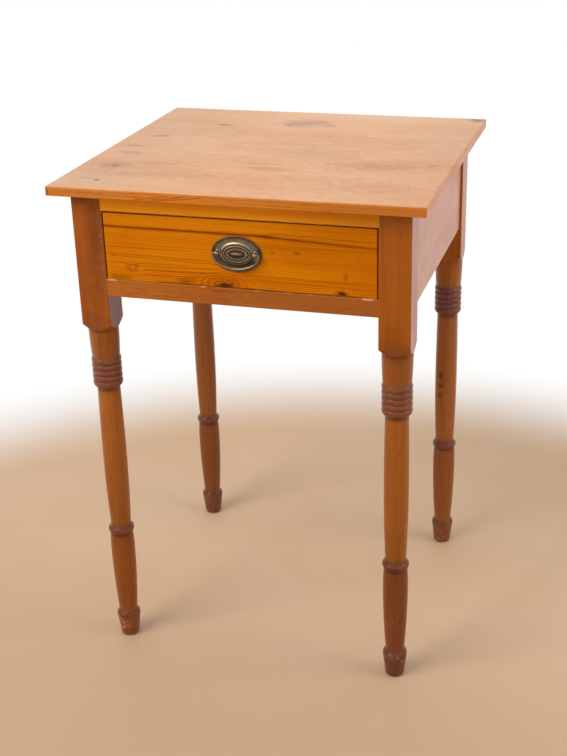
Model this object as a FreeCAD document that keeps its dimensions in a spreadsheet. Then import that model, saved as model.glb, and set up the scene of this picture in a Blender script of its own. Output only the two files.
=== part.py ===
import FreeCAD, Part
import os
import re

import Sketcher
from FreeCAD import Rotation, Vector

# One-drawer stand table: a pine top on four turned legs, held by three aprons and two front
# rails, with one dovetailed drawer on runners and an oval bail pull.
# Frame: origin on the floor under the middle of the top, X to the right, Y to the back
# (the drawer opens towards -Y), Z up.  Lengths are in millimetres.

LEFT, RIGHT = -1, 1
FRONT, BACK = -1, 1
SIDE_NAMES = {LEFT: "left", RIGHT: "right"}
END_NAMES = {FRONT: "front", BACK: "back"}
REEDS = 5
TAILS = 3

# ---------------------------------------------------------------------------- driving sizes
SIZES = {
    # overall
    "table_height": 724,
    "top_width": 508,
    "top_depth": 486,
    "top_thickness": 12.7,
    "top_arris": 0.8,
    "side_overhang": 22.5,
    "front_overhang": 26.5,
    # square heads of the legs, rails and aprons
    "leg_square": 43,
    "leg_arris": 0.7,
    "upper_rail_height": 25,
    "opening_height": 95,
    "lower_rail_height": 25,
    "rail_depth": 38,
    "apron_height": 141,
    "apron_thickness": 19,
    "apron_setback": 3,
    # joints of the frame
    "tenon_thickness": 8,
    "tenon_length": 22,
    "tenon_shoulder": 12,
    "rail_tenon_height": 13,
    "rail_tenon_width": 22,
    "rail_tenon_length": 20,
    "dovetail_height": 12,
    "dovetail_length": 18,
    "dovetail_neck": 20,
    "dovetail_flare": 3,
    "joint_clearance": 0.1,
    "mortise_extra": 1,
    # turning, from the floor up
    "foot_edge_height": 5,
    "foot_bottom_diameter": 22,
    "foot_edge_diameter": 28,
    "foot_collar_height": 37,
    "foot_collar_diameter": 35.4,
    "foot_cap_height": 6,
    "ankle_diameter": 26.6,
    "vase_swell_height": 152,
    "vase_swell_diameter": 35.8,
    "vase_top_diameter": 33.4,
    "ring_height": 188,
    "ring_width": 11,
    "ring_diameter": 38.2,
    "shaft_foot_diameter": 29.4,
    "shaft_swell_diameter": 34.8,
    "neck_diameter": 32.4,
    # turning, from the head down
    "reed_undercut": 3,
    "reed_pitch": 8.6,
    "reed_diameter": 42.4,
    "reed_depth": 1.6,
    "taper_length": 44.8,
    "taper_diameter": 42.6,
    "head_length": 198.5,
    # runners, guides and kickers
    "runner_width": 40,
    "runner_height": 18,
    "guide_height": 14,
    # drawer
    "drawer_side_gap": 1.6,
    "drawer_top_gap": 1.5,
    "drawer_lift": 0.3,
    "drawer_back_gap": 8,
    "drawer_front_thickness": 19,
    "drawer_side_thickness": 12,
    "drawer_side_drop": 3,
    "drawer_back_thickness": 12,
    "drawer_lap": 6,
    "tail_width": 17,
    "tail_flare": 2.5,
    "groove_height": 8,
    "groove_depth": 5,
    "bottom_thickness": 6,
    "bottom_clearance": 0.2,
    # stops behind the drawer front
    "stop_length": 24,
    "stop_depth": 14,
    "stop_height": 6,
    "stop_inset": 68.5,
    "stop_gap": 0.3,
    # pull
    "pull_raise": 1.3,
    "plate_width": 70,
    "plate_height": 50,
    "plate_thickness": 1.2,
    "dome_width": 42,
    "dome_height": 30,
    "dome_rise": 1,
    "medallion_width": 36,
    "medallion_height": 22,
    "medallion_rise": 0.8,
    "post_spacing": 52,
    "post_raise": 2.2,
    "post_shank_diameter": 4,
    "post_collar_diameter": 7.6,
    "post_collar_thickness": 1.2,
    "post_neck_diameter": 4.4,
    "post_ball_diameter": 6.6,
    "post_reach": 6.6,
    "post_tail": 3,
    "nut_width": 10,
    "nut_thickness": 3,
    "shank_clearance": 0.15,
    "bail_clearance": 0.1,
    "bail_rod": 2.8,
    "bail_middle": 4.4,
    "bail_pin_inset": 4,
    "bail_arm_offset": 5.4,
    "bail_elbow": 1.8,
    "bail_drop": 20.8,
    "bail_side_radius": 14.5,
    # screws and nails
    "screw_diameter": 4,
    "screw_head_diameter": 8,
    "screw_head_height": 3,
    "screw_slot_width": 1,
    "screw_slot_depth": 1,
    "screw_bite": 9,
    "kicker_screw_inset": 63.5,
    "rail_screw_inset": 88.5,
    "nail_diameter": 2.2,
    "nail_head_diameter": 5,
    "nail_head_height": 1,
    "nail_bite": 11,
    "side_nail_inset": 33.5,
    "guide_nail_inset": 63.5,
    "bottom_nail_inset": 54.9,
    "fastener_clearance": 0.1,
}

# ------------------------------------------------------------ levels and places worked out
PLACES = {
    "frame_top": "table_height - top_thickness",
    "frame_half_width": "top_width / 2 - side_overhang",
    "frame_half_depth": "top_depth / 2 - front_overhang",
    "leg_x": "frame_half_width - leg_square / 2",
    "leg_y": "frame_half_depth - leg_square / 2",
    "leg_inner_x": "frame_half_width - leg_square",
    "leg_inner_y": "frame_half_depth - leg_square",
    "opening_top": "frame_top - upper_rail_height",
    "opening_bottom": "opening_top - opening_height",
    "lower_rail_level": "opening_bottom - lower_rail_height / 2",
    "rail_y": "frame_half_depth - rail_depth / 2",
    "rail_back_y": "frame_half_depth - rail_depth",
    "apron_level": "frame_top - apron_height / 2",
    "apron_middle": "apron_setback + apron_thickness / 2",
    "apron_inner_x": "frame_half_width - apron_setback - apron_thickness",
    "apron_inner_y": "frame_half_depth - apron_setback - apron_thickness",
    "apron_tenon_height": "apron_height - 2 * tenon_shoulder",
    "mortise_depth": "tenon_length + mortise_extra",
    "rail_mortise_depth": "rail_tenon_length + mortise_extra",
    "taper_top": "frame_top - head_length",
    "reed_top": "taper_top - taper_length",
    "reed_valley": "reed_diameter / 2 - reed_depth",
    "neck_level": f"reed_top - {REEDS} * reed_pitch - reed_undercut",
    "ring_bottom": "ring_height - ring_width / 2",
    "ring_top": "ring_height + ring_width / 2",
    "shaft_swell_level": "(ring_top + neck_level) / 2",
    "runner_inner_x": "apron_inner_x - runner_width",
    "runner_x": "apron_inner_x - runner_width / 2",
    "guide_x": "(leg_inner_x + apron_inner_x) / 2",
    "runner_level": "opening_bottom - runner_height / 2",
    "kicker_level": "opening_top + upper_rail_height / 2",
    "drawer_half_width": "leg_inner_x - drawer_side_gap",
    "drawer_inner_x": "drawer_half_width - drawer_side_thickness",
    "drawer_floor": "opening_bottom + drawer_lift",
    "drawer_front_height": "opening_height - drawer_lift - drawer_top_gap",
    "drawer_side_height": "drawer_front_height - drawer_side_drop",
    "drawer_length": "frame_half_depth + apron_inner_y - drawer_back_gap",
    "drawer_back_y": "drawer_length - drawer_back_thickness",
    "panel_top": "groove_height + bottom_thickness",
    "panel_front_y": "drawer_front_thickness - groove_depth",
    "back_height": "drawer_side_height - panel_top",
    "pull_level": "drawer_front_height / 2 + pull_raise",
    "post_level": "pull_level + post_raise",
    "post_x": "post_spacing / 2",
    "bail_arm_x": "post_x + bail_arm_offset",
    "bail_span": "bail_drop - bail_elbow",
    "bail_side_x": "bail_arm_x - bail_side_radius",
    "bail_low_radius": "(bail_side_x * bail_side_x + bail_span * bail_span"
                       " - bail_side_radius * bail_side_radius)"
                       " / (2 * (bail_span - bail_side_radius))",
    "bail_hub_gap": "bail_low_radius - bail_side_radius",
    "bail_bend_x": "bail_side_x * bail_low_radius / bail_hub_gap",
    "bail_bend_level": "bail_elbow + bail_side_radius * (bail_low_radius - bail_span) / bail_hub_gap",
    "screw_hole": "screw_diameter + 2 * fastener_clearance",
    "nail_hole": "nail_diameter + 2 * fastener_clearance",
    "nail_row_y": "drawer_length - drawer_back_thickness / 2",
    "stop_x": "leg_inner_x - stop_inset",
    "rail_screw_x": "leg_inner_x - rail_screw_inset",
    "kicker_screw_y": "leg_inner_y - kicker_screw_inset",
    "side_nail_y": "leg_inner_y - side_nail_inset",
    "guide_nail_y": "leg_inner_y - guide_nail_inset",
    "bottom_nail_x": "drawer_inner_x - bottom_nail_inset",
}

doc = FreeCAD.newDocument("stand_table")


def expression(text):
    """Put the sheet's name before each size or place that an expression uses."""
    def qualify(match):
        word = match.group()
        if word in SIZES:
            return f"Sizes.{word}"
        return f"Places.{word}" if word in PLACES else word
    return re.sub(r"[a-z_]+", qualify, str(text))


def fill_sheet(name, cells):
    """Sheet with one row an alias: its words in column A and its content in column B."""
    sheet = doc.addObject("Spreadsheet::Sheet", name)
    for row, (alias, content) in enumerate(cells.items(), start=1):
        sheet.set(f"A{row}", alias.replace("_", " "))
        sheet.set(f"B{row}", content)
        sheet.setAlias(f"B{row}", alias)
    return sheet


sizes = fill_sheet("Sizes", {alias: str(number) for alias, number in SIZES.items()})
fill_sheet(
    "Places",
    {alias: "=" + expression(formula).replace("Places.", "") for alias, formula in PLACES.items()},
)
doc.recompute()


def value(text):
    """Value of an expression as the sheets stand now."""
    return float(sizes.evalExpression(expression(text)))


def bind(target, path, text):
    """Tie one property of an object to an expression."""
    target.setExpression(path, expression(text))


# ---------------------------------------------------------------------------- sketch helpers
def new_body(label, place=(0, 0, 0)):
    """Body of one piece, set down at a place of the table."""
    body = doc.addObject("PartDesign::Body", label)
    body.Label = label
    for axis, text in zip("xyz", place):
        bind(body, f"Placement.Base.{axis}", text)
    return body


def new_sketch(body, name, role, offset=0):
    """Sketch on one origin plane of a body, moved along the plane's normal."""
    sketch = body.newObject("Sketcher::SketchObject", f"{body.Name}_{name}")
    plane = next(item for item in body.Origin.OriginFeatures if item.Role == role)
    sketch.AttachmentSupport = (plane, "")
    sketch.MapMode = "FlatFace"
    sketch.Visibility = False
    bind(sketch, "AttachmentOffset.Base.z", offset)
    return sketch


def constrain(sketch, text, kind, *where):
    """Add one dimension to a sketch, bound to an expression."""
    row = sketch.addConstraint(Sketcher.Constraint(kind, *where, value(text)))
    bind(sketch, f"Constraints[{row}]", text)


def arc_between(start, end, radius, turn):
    """Arc of less than half a circle; turn is 1 where it curves left, -1 where it curves right."""
    chord = end - start
    height = max(radius ** 2 - (chord.Length / 2) ** 2, 0) ** 0.5
    centre = (start + end) / 2 + Vector(-chord.y, chord.x, 0).normalize() * turn * height
    circle = Part.Circle(centre, Vector(0, 0, 1), radius)
    first, last = (start, end) if turn > 0 else (end, start)
    return Part.ArcOfCircle(circle, circle.parameter(first), circle.parameter(last))


def draw_chain(sketch, corners, arcs=None, closed=True):
    """Lines and arcs through corners, with each corner and radius bound to the sheets.

    corners holds pairs of expressions; arcs maps an edge's number to its radius and turn.
    """
    arcs = arcs or {}
    points = [Vector(value(x), value(y), 0) for x, y in corners]
    ends = []
    for edge in range(len(points) if closed else len(points) - 1):
        start, end = points[edge], points[(edge + 1) % len(points)]
        if edge in arcs:
            radius, turn = arcs[edge]
            curve = sketch.addGeometry(arc_between(start, end, value(radius), turn))
            constrain(sketch, radius, "Radius", curve)
            ends.append((curve, 1, 2) if turn > 0 else (curve, 2, 1))
        else:
            ends.append((sketch.addGeometry(Part.LineSegment(start, end)), 1, 2))
    for edge, (x, y) in enumerate(corners):
        curve, vertex = ends[edge][:2] if edge < len(ends) else ends[-1][::2]
        constrain(sketch, x, "DistanceX", -1, 1, curve, vertex)
        constrain(sketch, y, "DistanceY", -1, 1, curve, vertex)
    followers = ends[1:] + ends[:1] if closed else ends[1:]
    for (before, _, last), (after, first, _) in zip(ends, followers):
        sketch.addConstraint(Sketcher.Constraint("Coincident", before, last, after, first))


def draw_circle(sketch, diameter, x, y):
    """Circle with its centre at two bound coordinates."""
    circle = Part.Circle(Vector(value(x), value(y), 0), Vector(0, 0, 1), value(diameter) / 2)
    curve = sketch.addGeometry(circle)
    constrain(sketch, x, "DistanceX", -1, 1, curve, 3)
    constrain(sketch, y, "DistanceY", -1, 1, curve, 3)
    constrain(sketch, diameter, "Diameter", curve)


def draw_ellipse(sketch, width, height):
    """Ellipse about the sketch's origin, its long axis level."""
    long_end = Vector(value(width) / 2, 0, 0)
    short_end = Vector(0, value(height) / 2, 0)
    curve = sketch.addGeometry(Part.Ellipse(long_end, short_end, Vector()))
    sketch.exposeInternalGeometry(curve)
    long_axis, short_axis = curve + 1, curve + 2
    sketch.addConstraint(Sketcher.Constraint("Coincident", curve, 3, -1, 1))
    sketch.addConstraint(Sketcher.Constraint("Horizontal", long_axis))
    constrain(sketch, width, "Distance", long_axis)
    constrain(sketch, height, "Distance", short_axis)


# ------------------------------------------------------------------------------- body features
def extrude(body, kind, sketch, length):
    """Pad or pocket of a sketch along its plane's normal."""
    feature = body.newObject(f"PartDesign::{kind}", f"{sketch.Name}_{kind.lower()}")
    feature.Profile = sketch
    feature.Reversed = kind == "Pocket"
    bind(feature, "Length", length)
    return feature


def revolve(body, kind, sketch, axis):
    """Revolution or groove of a sketch about its horizontal or vertical axis."""
    feature = body.newObject(f"PartDesign::{kind}", f"{sketch.Name}_{kind.lower()}")
    feature.Profile = sketch
    feature.ReferenceAxis = (sketch, [axis])
    feature.Angle = 360
    return feature


def sweep(body, section, path, further_sections=()):
    """Pipe of a section along a path, shaped by further sections on its way."""
    pipe = body.newObject("PartDesign::AdditivePipe", f"{path.Name}_pipe")
    pipe.Profile = section
    pipe.Spine = path
    if further_sections:
        pipe.Transformation = "Multisection"
        pipe.Sections = [(further, [""]) for further in further_sections]
    return pipe


def shape_block(feature, centre, size):
    """Give a box primitive its size along X, Y and Z and the place of its centre."""
    for side, axis, middle, extent in zip(("Length", "Width", "Height"), "xyz", centre, size):
        bind(feature, side, extent)
        bind(feature, f"Placement.Base.{axis}", f"({middle}) - ({extent}) / 2")
    return feature


TURNS = {"x": Rotation(Vector(0, 1, 0), 90), "y": Rotation(Vector(1, 0, 0), -90), "z": Rotation()}


def shape_cylinder(feature, centre, axis, diameter, length):
    """Give a cylinder primitive its axis, diameter and length and the place of its centre."""
    feature.Placement.Rotation = TURNS[axis]
    bind(feature, "Radius", f"({diameter}) / 2")
    bind(feature, "Height", length)
    for letter, middle in zip("xyz", centre):
        half = f" - ({length}) / 2" if letter == axis else ""
        bind(feature, f"Placement.Base.{letter}", f"({middle}){half}")
    return feature


def shape_cone(feature, start, bottom_diameter, top_diameter, height):
    """Give a cone primitive its two diameters and height, standing on its start point."""
    bind(feature, "Radius1", f"({bottom_diameter}) / 2")
    bind(feature, "Radius2", f"({top_diameter}) / 2")
    bind(feature, "Height", height)
    for letter, middle in zip("xyz", start):
        bind(feature, f"Placement.Base.{letter}", middle)
    return feature


def add_block(body, name, centre, size):
    box = body.newObject("PartDesign::AdditiveBox", f"{body.Name}_{name}")
    return shape_block(box, centre, size)


def cut_block(body, name, centre, size):
    box = body.newObject("PartDesign::SubtractiveBox", f"{body.Name}_{name}")
    return shape_block(box, centre, size)


def cut_bore(body, name, centre, axis, diameter, length):
    hole = body.newObject("PartDesign::SubtractiveCylinder", f"{body.Name}_{name}")
    return shape_cylinder(hole, centre, axis, diameter, length)


def bore_for_screw(body, name, x, y):
    """Clearance hole and countersink for a screw of the top, up through a strip or rail."""
    cut_bore(
        body, f"{name}_screw_hole", (x, y, "upper_rail_height / 2"), "z",
        "screw_hole", "upper_rail_height",
    )
    seat = body.newObject("PartDesign::SubtractiveCone", f"{body.Name}_{name}_screw_seat")
    shape_cone(
        seat, (x, y, 0),
        "screw_head_diameter + 2 * fastener_clearance", "screw_hole", "screw_head_height",
    )


# ------------------------------------------------------------------------------------- legs
def swell(run, rise, turn=1):
    """Radius and turn of an arc that is upright at its widest point.

    run is the height that the arc covers, and rise how far it moves out from the axis.
    """
    return f"(({run}) * ({run}) + ({rise}) * ({rise})) / (2 * ({rise}))", turn


def turned_profile():
    """Corners and arcs of the turning, from the floor to the shoulder under the head."""
    corners = [
        ("foot_bottom_diameter / 2", "0"),
        ("foot_edge_diameter / 2", "foot_edge_height"),
        ("foot_collar_diameter / 2", "foot_collar_height"),
        ("ankle_diameter / 2", "foot_collar_height + foot_cap_height"),
        ("vase_swell_diameter / 2", "vase_swell_height"),
        ("vase_top_diameter / 2", "ring_bottom"),
        ("ring_diameter / 2", "ring_height"),
        ("shaft_foot_diameter / 2", "ring_top"),
        ("shaft_swell_diameter / 2", "shaft_swell_level"),
        ("neck_diameter / 2", "neck_level"),
        ("reed_diameter / 2", f"reed_top - {REEDS - 0.5} * reed_pitch"),
    ]
    for reed in range(REEDS - 1, -1, -1):
        corners.append(("reed_valley", f"reed_top - {reed} * reed_pitch"))
    corners.append(("taper_diameter / 2", "taper_top"))
    vase_run = "vase_swell_height - foot_collar_height - foot_cap_height"
    arcs = {
        0: swell("foot_edge_height", "(foot_edge_diameter - foot_bottom_diameter) / 2"),
        2: swell("foot_cap_height", "(foot_collar_diameter - ankle_diameter) / 2"),
        3: swell(vase_run, "(vase_swell_diameter - ankle_diameter) / 2"),
        4: swell("ring_bottom - vase_swell_height", "(vase_swell_diameter - vase_top_diameter) / 2"),
        5: swell("ring_width / 2", "(ring_diameter - vase_top_diameter) / 2"),
        6: swell("ring_width / 2", "(ring_diameter - shaft_foot_diameter) / 2"),
        7: swell("shaft_swell_level - ring_top", "(shaft_swell_diameter - shaft_foot_diameter) / 2"),
        8: swell("neck_level - shaft_swell_level", "(shaft_swell_diameter - neck_diameter) / 2"),
        9: swell("reed_undercut + reed_pitch / 2", "(reed_diameter - neck_diameter) / 2"),
    }
    for reed in range(REEDS):
        arcs[10 + reed] = swell("reed_pitch / 2", "reed_depth")
    arcs[10 + REEDS] = swell("taper_length", "taper_diameter / 2 - reed_valley")
    return corners, arcs


def rail_dovetail(side, shoulder_x, middle_y):
    """Plan of the dovetail on one end of the upper rail, from its shoulder outwards."""
    tip_x = f"{shoulder_x} + {side} * dovetail_length"
    return [
        (shoulder_x, f"{middle_y} - dovetail_neck / 2"),
        (tip_x, f"{middle_y} - dovetail_neck / 2 - dovetail_flare"),
        (tip_x, f"{middle_y} + dovetail_neck / 2 + dovetail_flare"),
        (shoulder_x, f"{middle_y} + dovetail_neck / 2"),
    ]


def make_leg(side, end):
    """Square-headed turned leg, modelled about its own axis, with the mortises of its corner."""
    place = (f"{side} * leg_x", f"{end} * leg_y", 0)
    body = new_body(f"{END_NAMES[end]}_{SIDE_NAMES[side]}_leg", place)

    blank = new_sketch(body, "blank", "XY_Plane")
    flat, edge = "leg_square / 2", "(leg_square / 2 - leg_arris)"
    draw_chain(blank, [
        (f"-{edge}", f"-{flat}"), (edge, f"-{flat}"), (flat, f"-{edge}"), (flat, edge),
        (edge, flat), (f"-{edge}", flat), (f"-{flat}", edge), (f"-{flat}", f"-{edge}"),
    ])
    extrude(body, "Pad", blank, "frame_top")

    waste = new_sketch(body, "waste", "XZ_Plane")
    corners, arcs = turned_profile()
    corners.append(("leg_square", "taper_top + leg_square - taper_diameter / 2"))
    corners.append(("leg_square", "0"))
    draw_chain(waste, corners, arcs)
    revolve(body, "Groove", waste, "V_Axis")

    slot = "tenon_thickness + 2 * joint_clearance"
    slot_height = "apron_tenon_height + 2 * joint_clearance"
    cut_block(
        body, "side_mortise",
        (
            f"{side} * (leg_square / 2 - apron_middle)",
            f"{-end} * (leg_square - mortise_depth) / 2",
            "apron_level",
        ),
        (slot, "mortise_depth", slot_height),
    )
    if end == BACK:
        cut_block(
            body, "back_mortise",
            (f"{-side} * (leg_square - mortise_depth) / 2", "leg_square / 2 - apron_middle", "apron_level"),
            ("mortise_depth", slot, slot_height),
        )
        return body

    rail_middle = "(rail_depth - leg_square) / 2"
    cut_block(
        body, "rail_mortise",
        (f"{-side} * (leg_square - rail_mortise_depth) / 2", rail_middle, "lower_rail_level"),
        (
            "rail_mortise_depth",
            "rail_tenon_width + 2 * joint_clearance",
            "rail_tenon_height + 2 * joint_clearance",
        ),
    )
    socket = new_sketch(body, "socket", "XY_Plane", "frame_top - dovetail_height")
    draw_chain(socket, rail_dovetail(side, f"{-side} * leg_square / 2", rail_middle))
    extrude(body, "Pocket", socket, "dovetail_height")
    return body


# -------------------------------------------------------------------------- aprons and rails
SCREW_SPOTS = [
    (f"{side} * runner_x", f"{end} * kicker_screw_y")
    for side in (LEFT, RIGHT) for end in (FRONT, BACK)
]
SCREW_SPOTS += [(f"{side} * rail_screw_x", "-rail_y") for side in (LEFT, RIGHT)]


def make_side_apron(side):
    """Board between a front and a back leg, tenoned at both ends, with pilots for its nails."""
    body = new_body(f"{SIDE_NAMES[side]}_side_apron", (f"{side} * (frame_half_width - apron_middle)", 0, 0))
    add_block(body, "board", (0, 0, "apron_level"), ("apron_thickness", "2 * leg_inner_y", "apron_height"))
    for end in (FRONT, BACK):
        add_block(
            body, f"{END_NAMES[end]}_tenon",
            (0, f"{end} * (leg_inner_y + tenon_length / 2)", "apron_level"),
            ("tenon_thickness", "tenon_length", "apron_tenon_height"),
        )
    for strip in ("runner", "kicker"):
        for end in (FRONT, BACK):
            cut_bore(
                body, f"{END_NAMES[end]}_{strip}_pilot",
                (
                    f"{-side} * (apron_thickness - nail_bite) / 2",
                    f"{end} * side_nail_y",
                    f"{strip}_level",
                ),
                "x", "nail_hole", "nail_bite",
            )
    return body


def make_back_apron():
    """Board between the back legs, tenoned at both ends."""
    body = new_body("back_apron", (0, "frame_half_depth - apron_middle", 0))
    add_block(body, "board", (0, 0, "apron_level"), ("2 * leg_inner_x", "apron_thickness", "apron_height"))
    for side in (LEFT, RIGHT):
        add_block(
            body, f"{SIDE_NAMES[side]}_tenon",
            (f"{side} * (leg_inner_x + tenon_length / 2)", 0, "apron_level"),
            ("tenon_length", "tenon_thickness", "apron_tenon_height"),
        )
    return body


def make_lower_rail():
    """Rail under the drawer, flush with the legs, tenoned at both ends."""
    body = new_body("lower_front_rail", (0, "-rail_y", "lower_rail_level"))
    add_block(body, "board", (0, 0, 0), ("2 * leg_inner_x", "rail_depth", "lower_rail_height"))
    for side in (LEFT, RIGHT):
        add_block(
            body, f"{SIDE_NAMES[side]}_tenon",
            (f"{side} * (leg_inner_x + rail_tenon_length / 2)", 0, 0),
            ("rail_tenon_length", "rail_tenon_width", "rail_tenon_height"),
        )
    return body


def make_upper_rail():
    """Rail over the drawer, dovetailed down into the tops of the front legs."""
    body = new_body("upper_front_rail", (0, "-rail_y", "opening_top"))
    add_block(
        body, "board", (0, 0, "upper_rail_height / 2"),
        ("2 * leg_inner_x", "rail_depth", "upper_rail_height"),
    )
    for side in (LEFT, RIGHT):
        tail = new_sketch(body, f"{SIDE_NAMES[side]}_tail", "XY_Plane", "upper_rail_height - dovetail_height")
        draw_chain(tail, rail_dovetail(side, f"{side} * leg_inner_x", "0"))
        extrude(body, "Pad", tail, "dovetail_height")
        bore_for_screw(body, SIDE_NAMES[side], f"{side} * rail_screw_x", "0")
    return body


def make_top():
    """Single board with eased arrises and pilot holes for the screws that hold it."""
    body = new_body("top_board", (0, 0, "frame_top"))
    add_block(body, "board", (0, 0, "top_thickness / 2"), ("top_width", "top_depth", "top_thickness"))
    doc.recompute()
    easing = body.newObject("PartDesign::Fillet", "top_board_easing")
    easing.Base = (body.Group[-2], [""])
    easing.UseAllEdges = True
    bind(easing, "Radius", "top_arris")
    for number, (x, y) in enumerate(SCREW_SPOTS):
        cut_bore(
            body, f"pilot_{number}", (x, y, "(screw_bite + fastener_clearance) / 2"), "z",
            "screw_hole", "screw_bite + fastener_clearance",
        )
    return body


# --------------------------------------------------------------- runners, kickers and guides
def strip_plan(side):
    """Plan of a runner or kicker: notched round both legs, from the rail to the back apron."""
    return [
        (f"{side} * runner_inner_x", "-rail_back_y"),
        (f"{side} * leg_inner_x", "-rail_back_y"),
        (f"{side} * leg_inner_x", "-leg_inner_y"),
        (f"{side} * apron_inner_x", "-leg_inner_y"),
        (f"{side} * apron_inner_x", "leg_inner_y"),
        (f"{side} * leg_inner_x", "leg_inner_y"),
        (f"{side} * leg_inner_x", "apron_inner_y"),
        (f"{side} * runner_inner_x", "apron_inner_y"),
    ]


def make_strip(side, kind, bottom, height):
    """Runner under the drawer's side, or kicker above it, with holes for its nails."""
    body = new_body(f"{SIDE_NAMES[side]}_{kind}", (0, 0, bottom))
    plan = new_sketch(body, "plan", "XY_Plane")
    draw_chain(plan, strip_plan(side))
    extrude(body, "Pad", plan, height)
    for end in (FRONT, BACK):
        cut_bore(
            body, f"{END_NAMES[end]}_nail_hole",
            (f"{side} * runner_x", f"{end} * side_nail_y", f"{height} / 2"),
            "x", "nail_hole", "runner_width",
        )
    return body


def make_runner(side):
    """Strip that carries the drawer's side, with pilots for the nails of its guide."""
    body = make_strip(side, "drawer_runner", "opening_bottom - runner_height", "runner_height")
    for end in (FRONT, BACK):
        cut_bore(
            body, f"{END_NAMES[end]}_guide_pilot",
            (f"{side} * guide_x", f"{end} * guide_nail_y", "runner_height - nail_bite / 2"),
            "z", "nail_hole", "nail_bite",
        )
    return body


def make_kicker(side):
    """Strip that keeps the drawer from tipping and takes the screws of the top."""
    body = make_strip(side, "kicker", "opening_top", "upper_rail_height")
    for end in (FRONT, BACK):
        bore_for_screw(body, END_NAMES[end], f"{side} * runner_x", f"{end} * kicker_screw_y")
    return body


def make_guide(side):
    """Strip on the runner, level with the legs' inner faces, that steers the drawer."""
    body = new_body(f"{SIDE_NAMES[side]}_drawer_guide", (f"{side} * guide_x", 0, "opening_bottom"))
    add_block(
        body, "strip", (0, 0, "guide_height / 2"),
        ("apron_inner_x - leg_inner_x", "2 * leg_inner_y", "guide_height"),
    )
    for end in (FRONT, BACK):
        cut_bore(
            body, f"{END_NAMES[end]}_nail_hole",
            (0, f"{end} * guide_nail_y", "guide_height / 2"), "z", "nail_hole", "guide_height",
        )
    return body


def make_stop(side):
    """Block on the lower rail that the closed drawer front comes up against."""
    front_y = "drawer_front_thickness + stop_gap - frame_half_depth"
    body = new_body(
        f"{SIDE_NAMES[side]}_drawer_stop",
        (f"{side} * stop_x", f"{front_y} + stop_depth / 2", "opening_bottom + stop_height / 2"),
    )
    add_block(body, "block", (0, 0, 0), ("stop_length", "stop_depth", "stop_height"))
    return body


# ------------------------------------------------------------------------------------ drawer
DRAWER_PLACE = (0, "-frame_half_depth", "drawer_floor")


def tail(level, root_y, tip_y):
    """Side view of one dovetail of a drawer side: two corners at its root and two at its tip."""
    return [
        (root_y, f"{level} - tail_width / 2"),
        (tip_y, f"{level} - tail_width / 2 - tail_flare"),
        (tip_y, f"{level} + tail_width / 2 + tail_flare"),
        (root_y, f"{level} + tail_width / 2"),
    ]


def front_tails():
    """Dovetails into the drawer front, from the lowest up."""
    levels = [f"drawer_side_height * {(tail_number + 0.5) / TAILS}" for tail_number in range(TAILS)]
    return [tail(level, "drawer_front_thickness", "drawer_lap") for level in levels]


def back_tails():
    """Dovetails through the drawer back, from the lowest up."""
    levels = [f"(panel_top + back_height * {(tail_number + 0.5) / TAILS})" for tail_number in range(TAILS)]
    return [tail(level, "drawer_back_y", "drawer_length") for level in levels]


def cut_sockets(body, tails):
    """Cut the sockets of a drawer side's dovetails in both ends of a board."""
    for side, start_x in ((LEFT, "-drawer_half_width"), (RIGHT, "drawer_inner_x")):
        for number, corners in enumerate(tails):
            socket = new_sketch(body, f"{SIDE_NAMES[side]}_socket_{number}", "YZ_Plane", start_x)
            draw_chain(socket, corners)
            extrude(body, "Pocket", socket, "drawer_side_thickness")


def make_drawer_front():
    """Front board: lapped dovetail sockets, a groove for the bottom and holes for the posts."""
    body = new_body("drawer_front", DRAWER_PLACE)
    add_block(
        body, "board", (0, "drawer_front_thickness / 2", "drawer_front_height / 2"),
        ("2 * drawer_half_width", "drawer_front_thickness", "drawer_front_height"),
    )
    cut_sockets(body, front_tails())
    cut_block(
        body, "groove",
        (0, "drawer_front_thickness - groove_depth / 2", "groove_height + bottom_thickness / 2"),
        ("2 * drawer_inner_x", "groove_depth", "bottom_thickness"),
    )
    for side in (LEFT, RIGHT):
        cut_bore(
            body, f"{SIDE_NAMES[side]}_post_hole",
            (f"{side} * post_x", "drawer_front_thickness / 2", "post_level"), "y",
            "post_shank_diameter + 2 * shank_clearance", "drawer_front_thickness",
        )
    return body


def make_drawer_side(side):
    """Side board with dovetails at both ends and a groove for the bottom."""
    body = new_body(f"drawer_{SIDE_NAMES[side]}_side", DRAWER_PLACE)
    corners = [
        ("drawer_front_thickness", "0"),
        ("drawer_length", "0"),
        ("drawer_length", "panel_top"),
        ("drawer_back_y", "panel_top"),
    ]
    for outline in back_tails():
        corners += outline
    corners += [("drawer_back_y", "drawer_side_height"), ("drawer_front_thickness", "drawer_side_height")]
    for outline in reversed(front_tails()):
        corners += reversed(outline)
    start_x = {LEFT: "-drawer_half_width", RIGHT: "drawer_inner_x"}[side]
    elevation = new_sketch(body, "elevation", "YZ_Plane", start_x)
    draw_chain(elevation, corners)
    extrude(body, "Pad", elevation, "drawer_side_thickness")
    cut_block(
        body, "groove",
        (
            f"{side} * (drawer_inner_x + groove_depth / 2)",
            "(panel_front_y + drawer_length) / 2",
            "groove_height + bottom_thickness / 2",
        ),
        ("groove_depth", "drawer_length - panel_front_y", "bottom_thickness"),
    )
    return body


def make_drawer_back():
    """Back board, standing on the bottom, with sockets for the sides' dovetails."""
    body = new_body("drawer_back", DRAWER_PLACE)
    add_block(
        body, "board", (0, "drawer_length - drawer_back_thickness / 2", "panel_top + back_height / 2"),
        ("2 * drawer_half_width", "drawer_back_thickness", "back_height"),
    )
    cut_sockets(body, back_tails())
    for number in (-1, 0, 1):
        cut_bore(
            body, f"pilot_{number + 1}",
            (f"{number} * bottom_nail_x", "nail_row_y", "panel_top + nail_bite / 2"),
            "z", "nail_hole", "nail_bite",
        )
    return body


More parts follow.
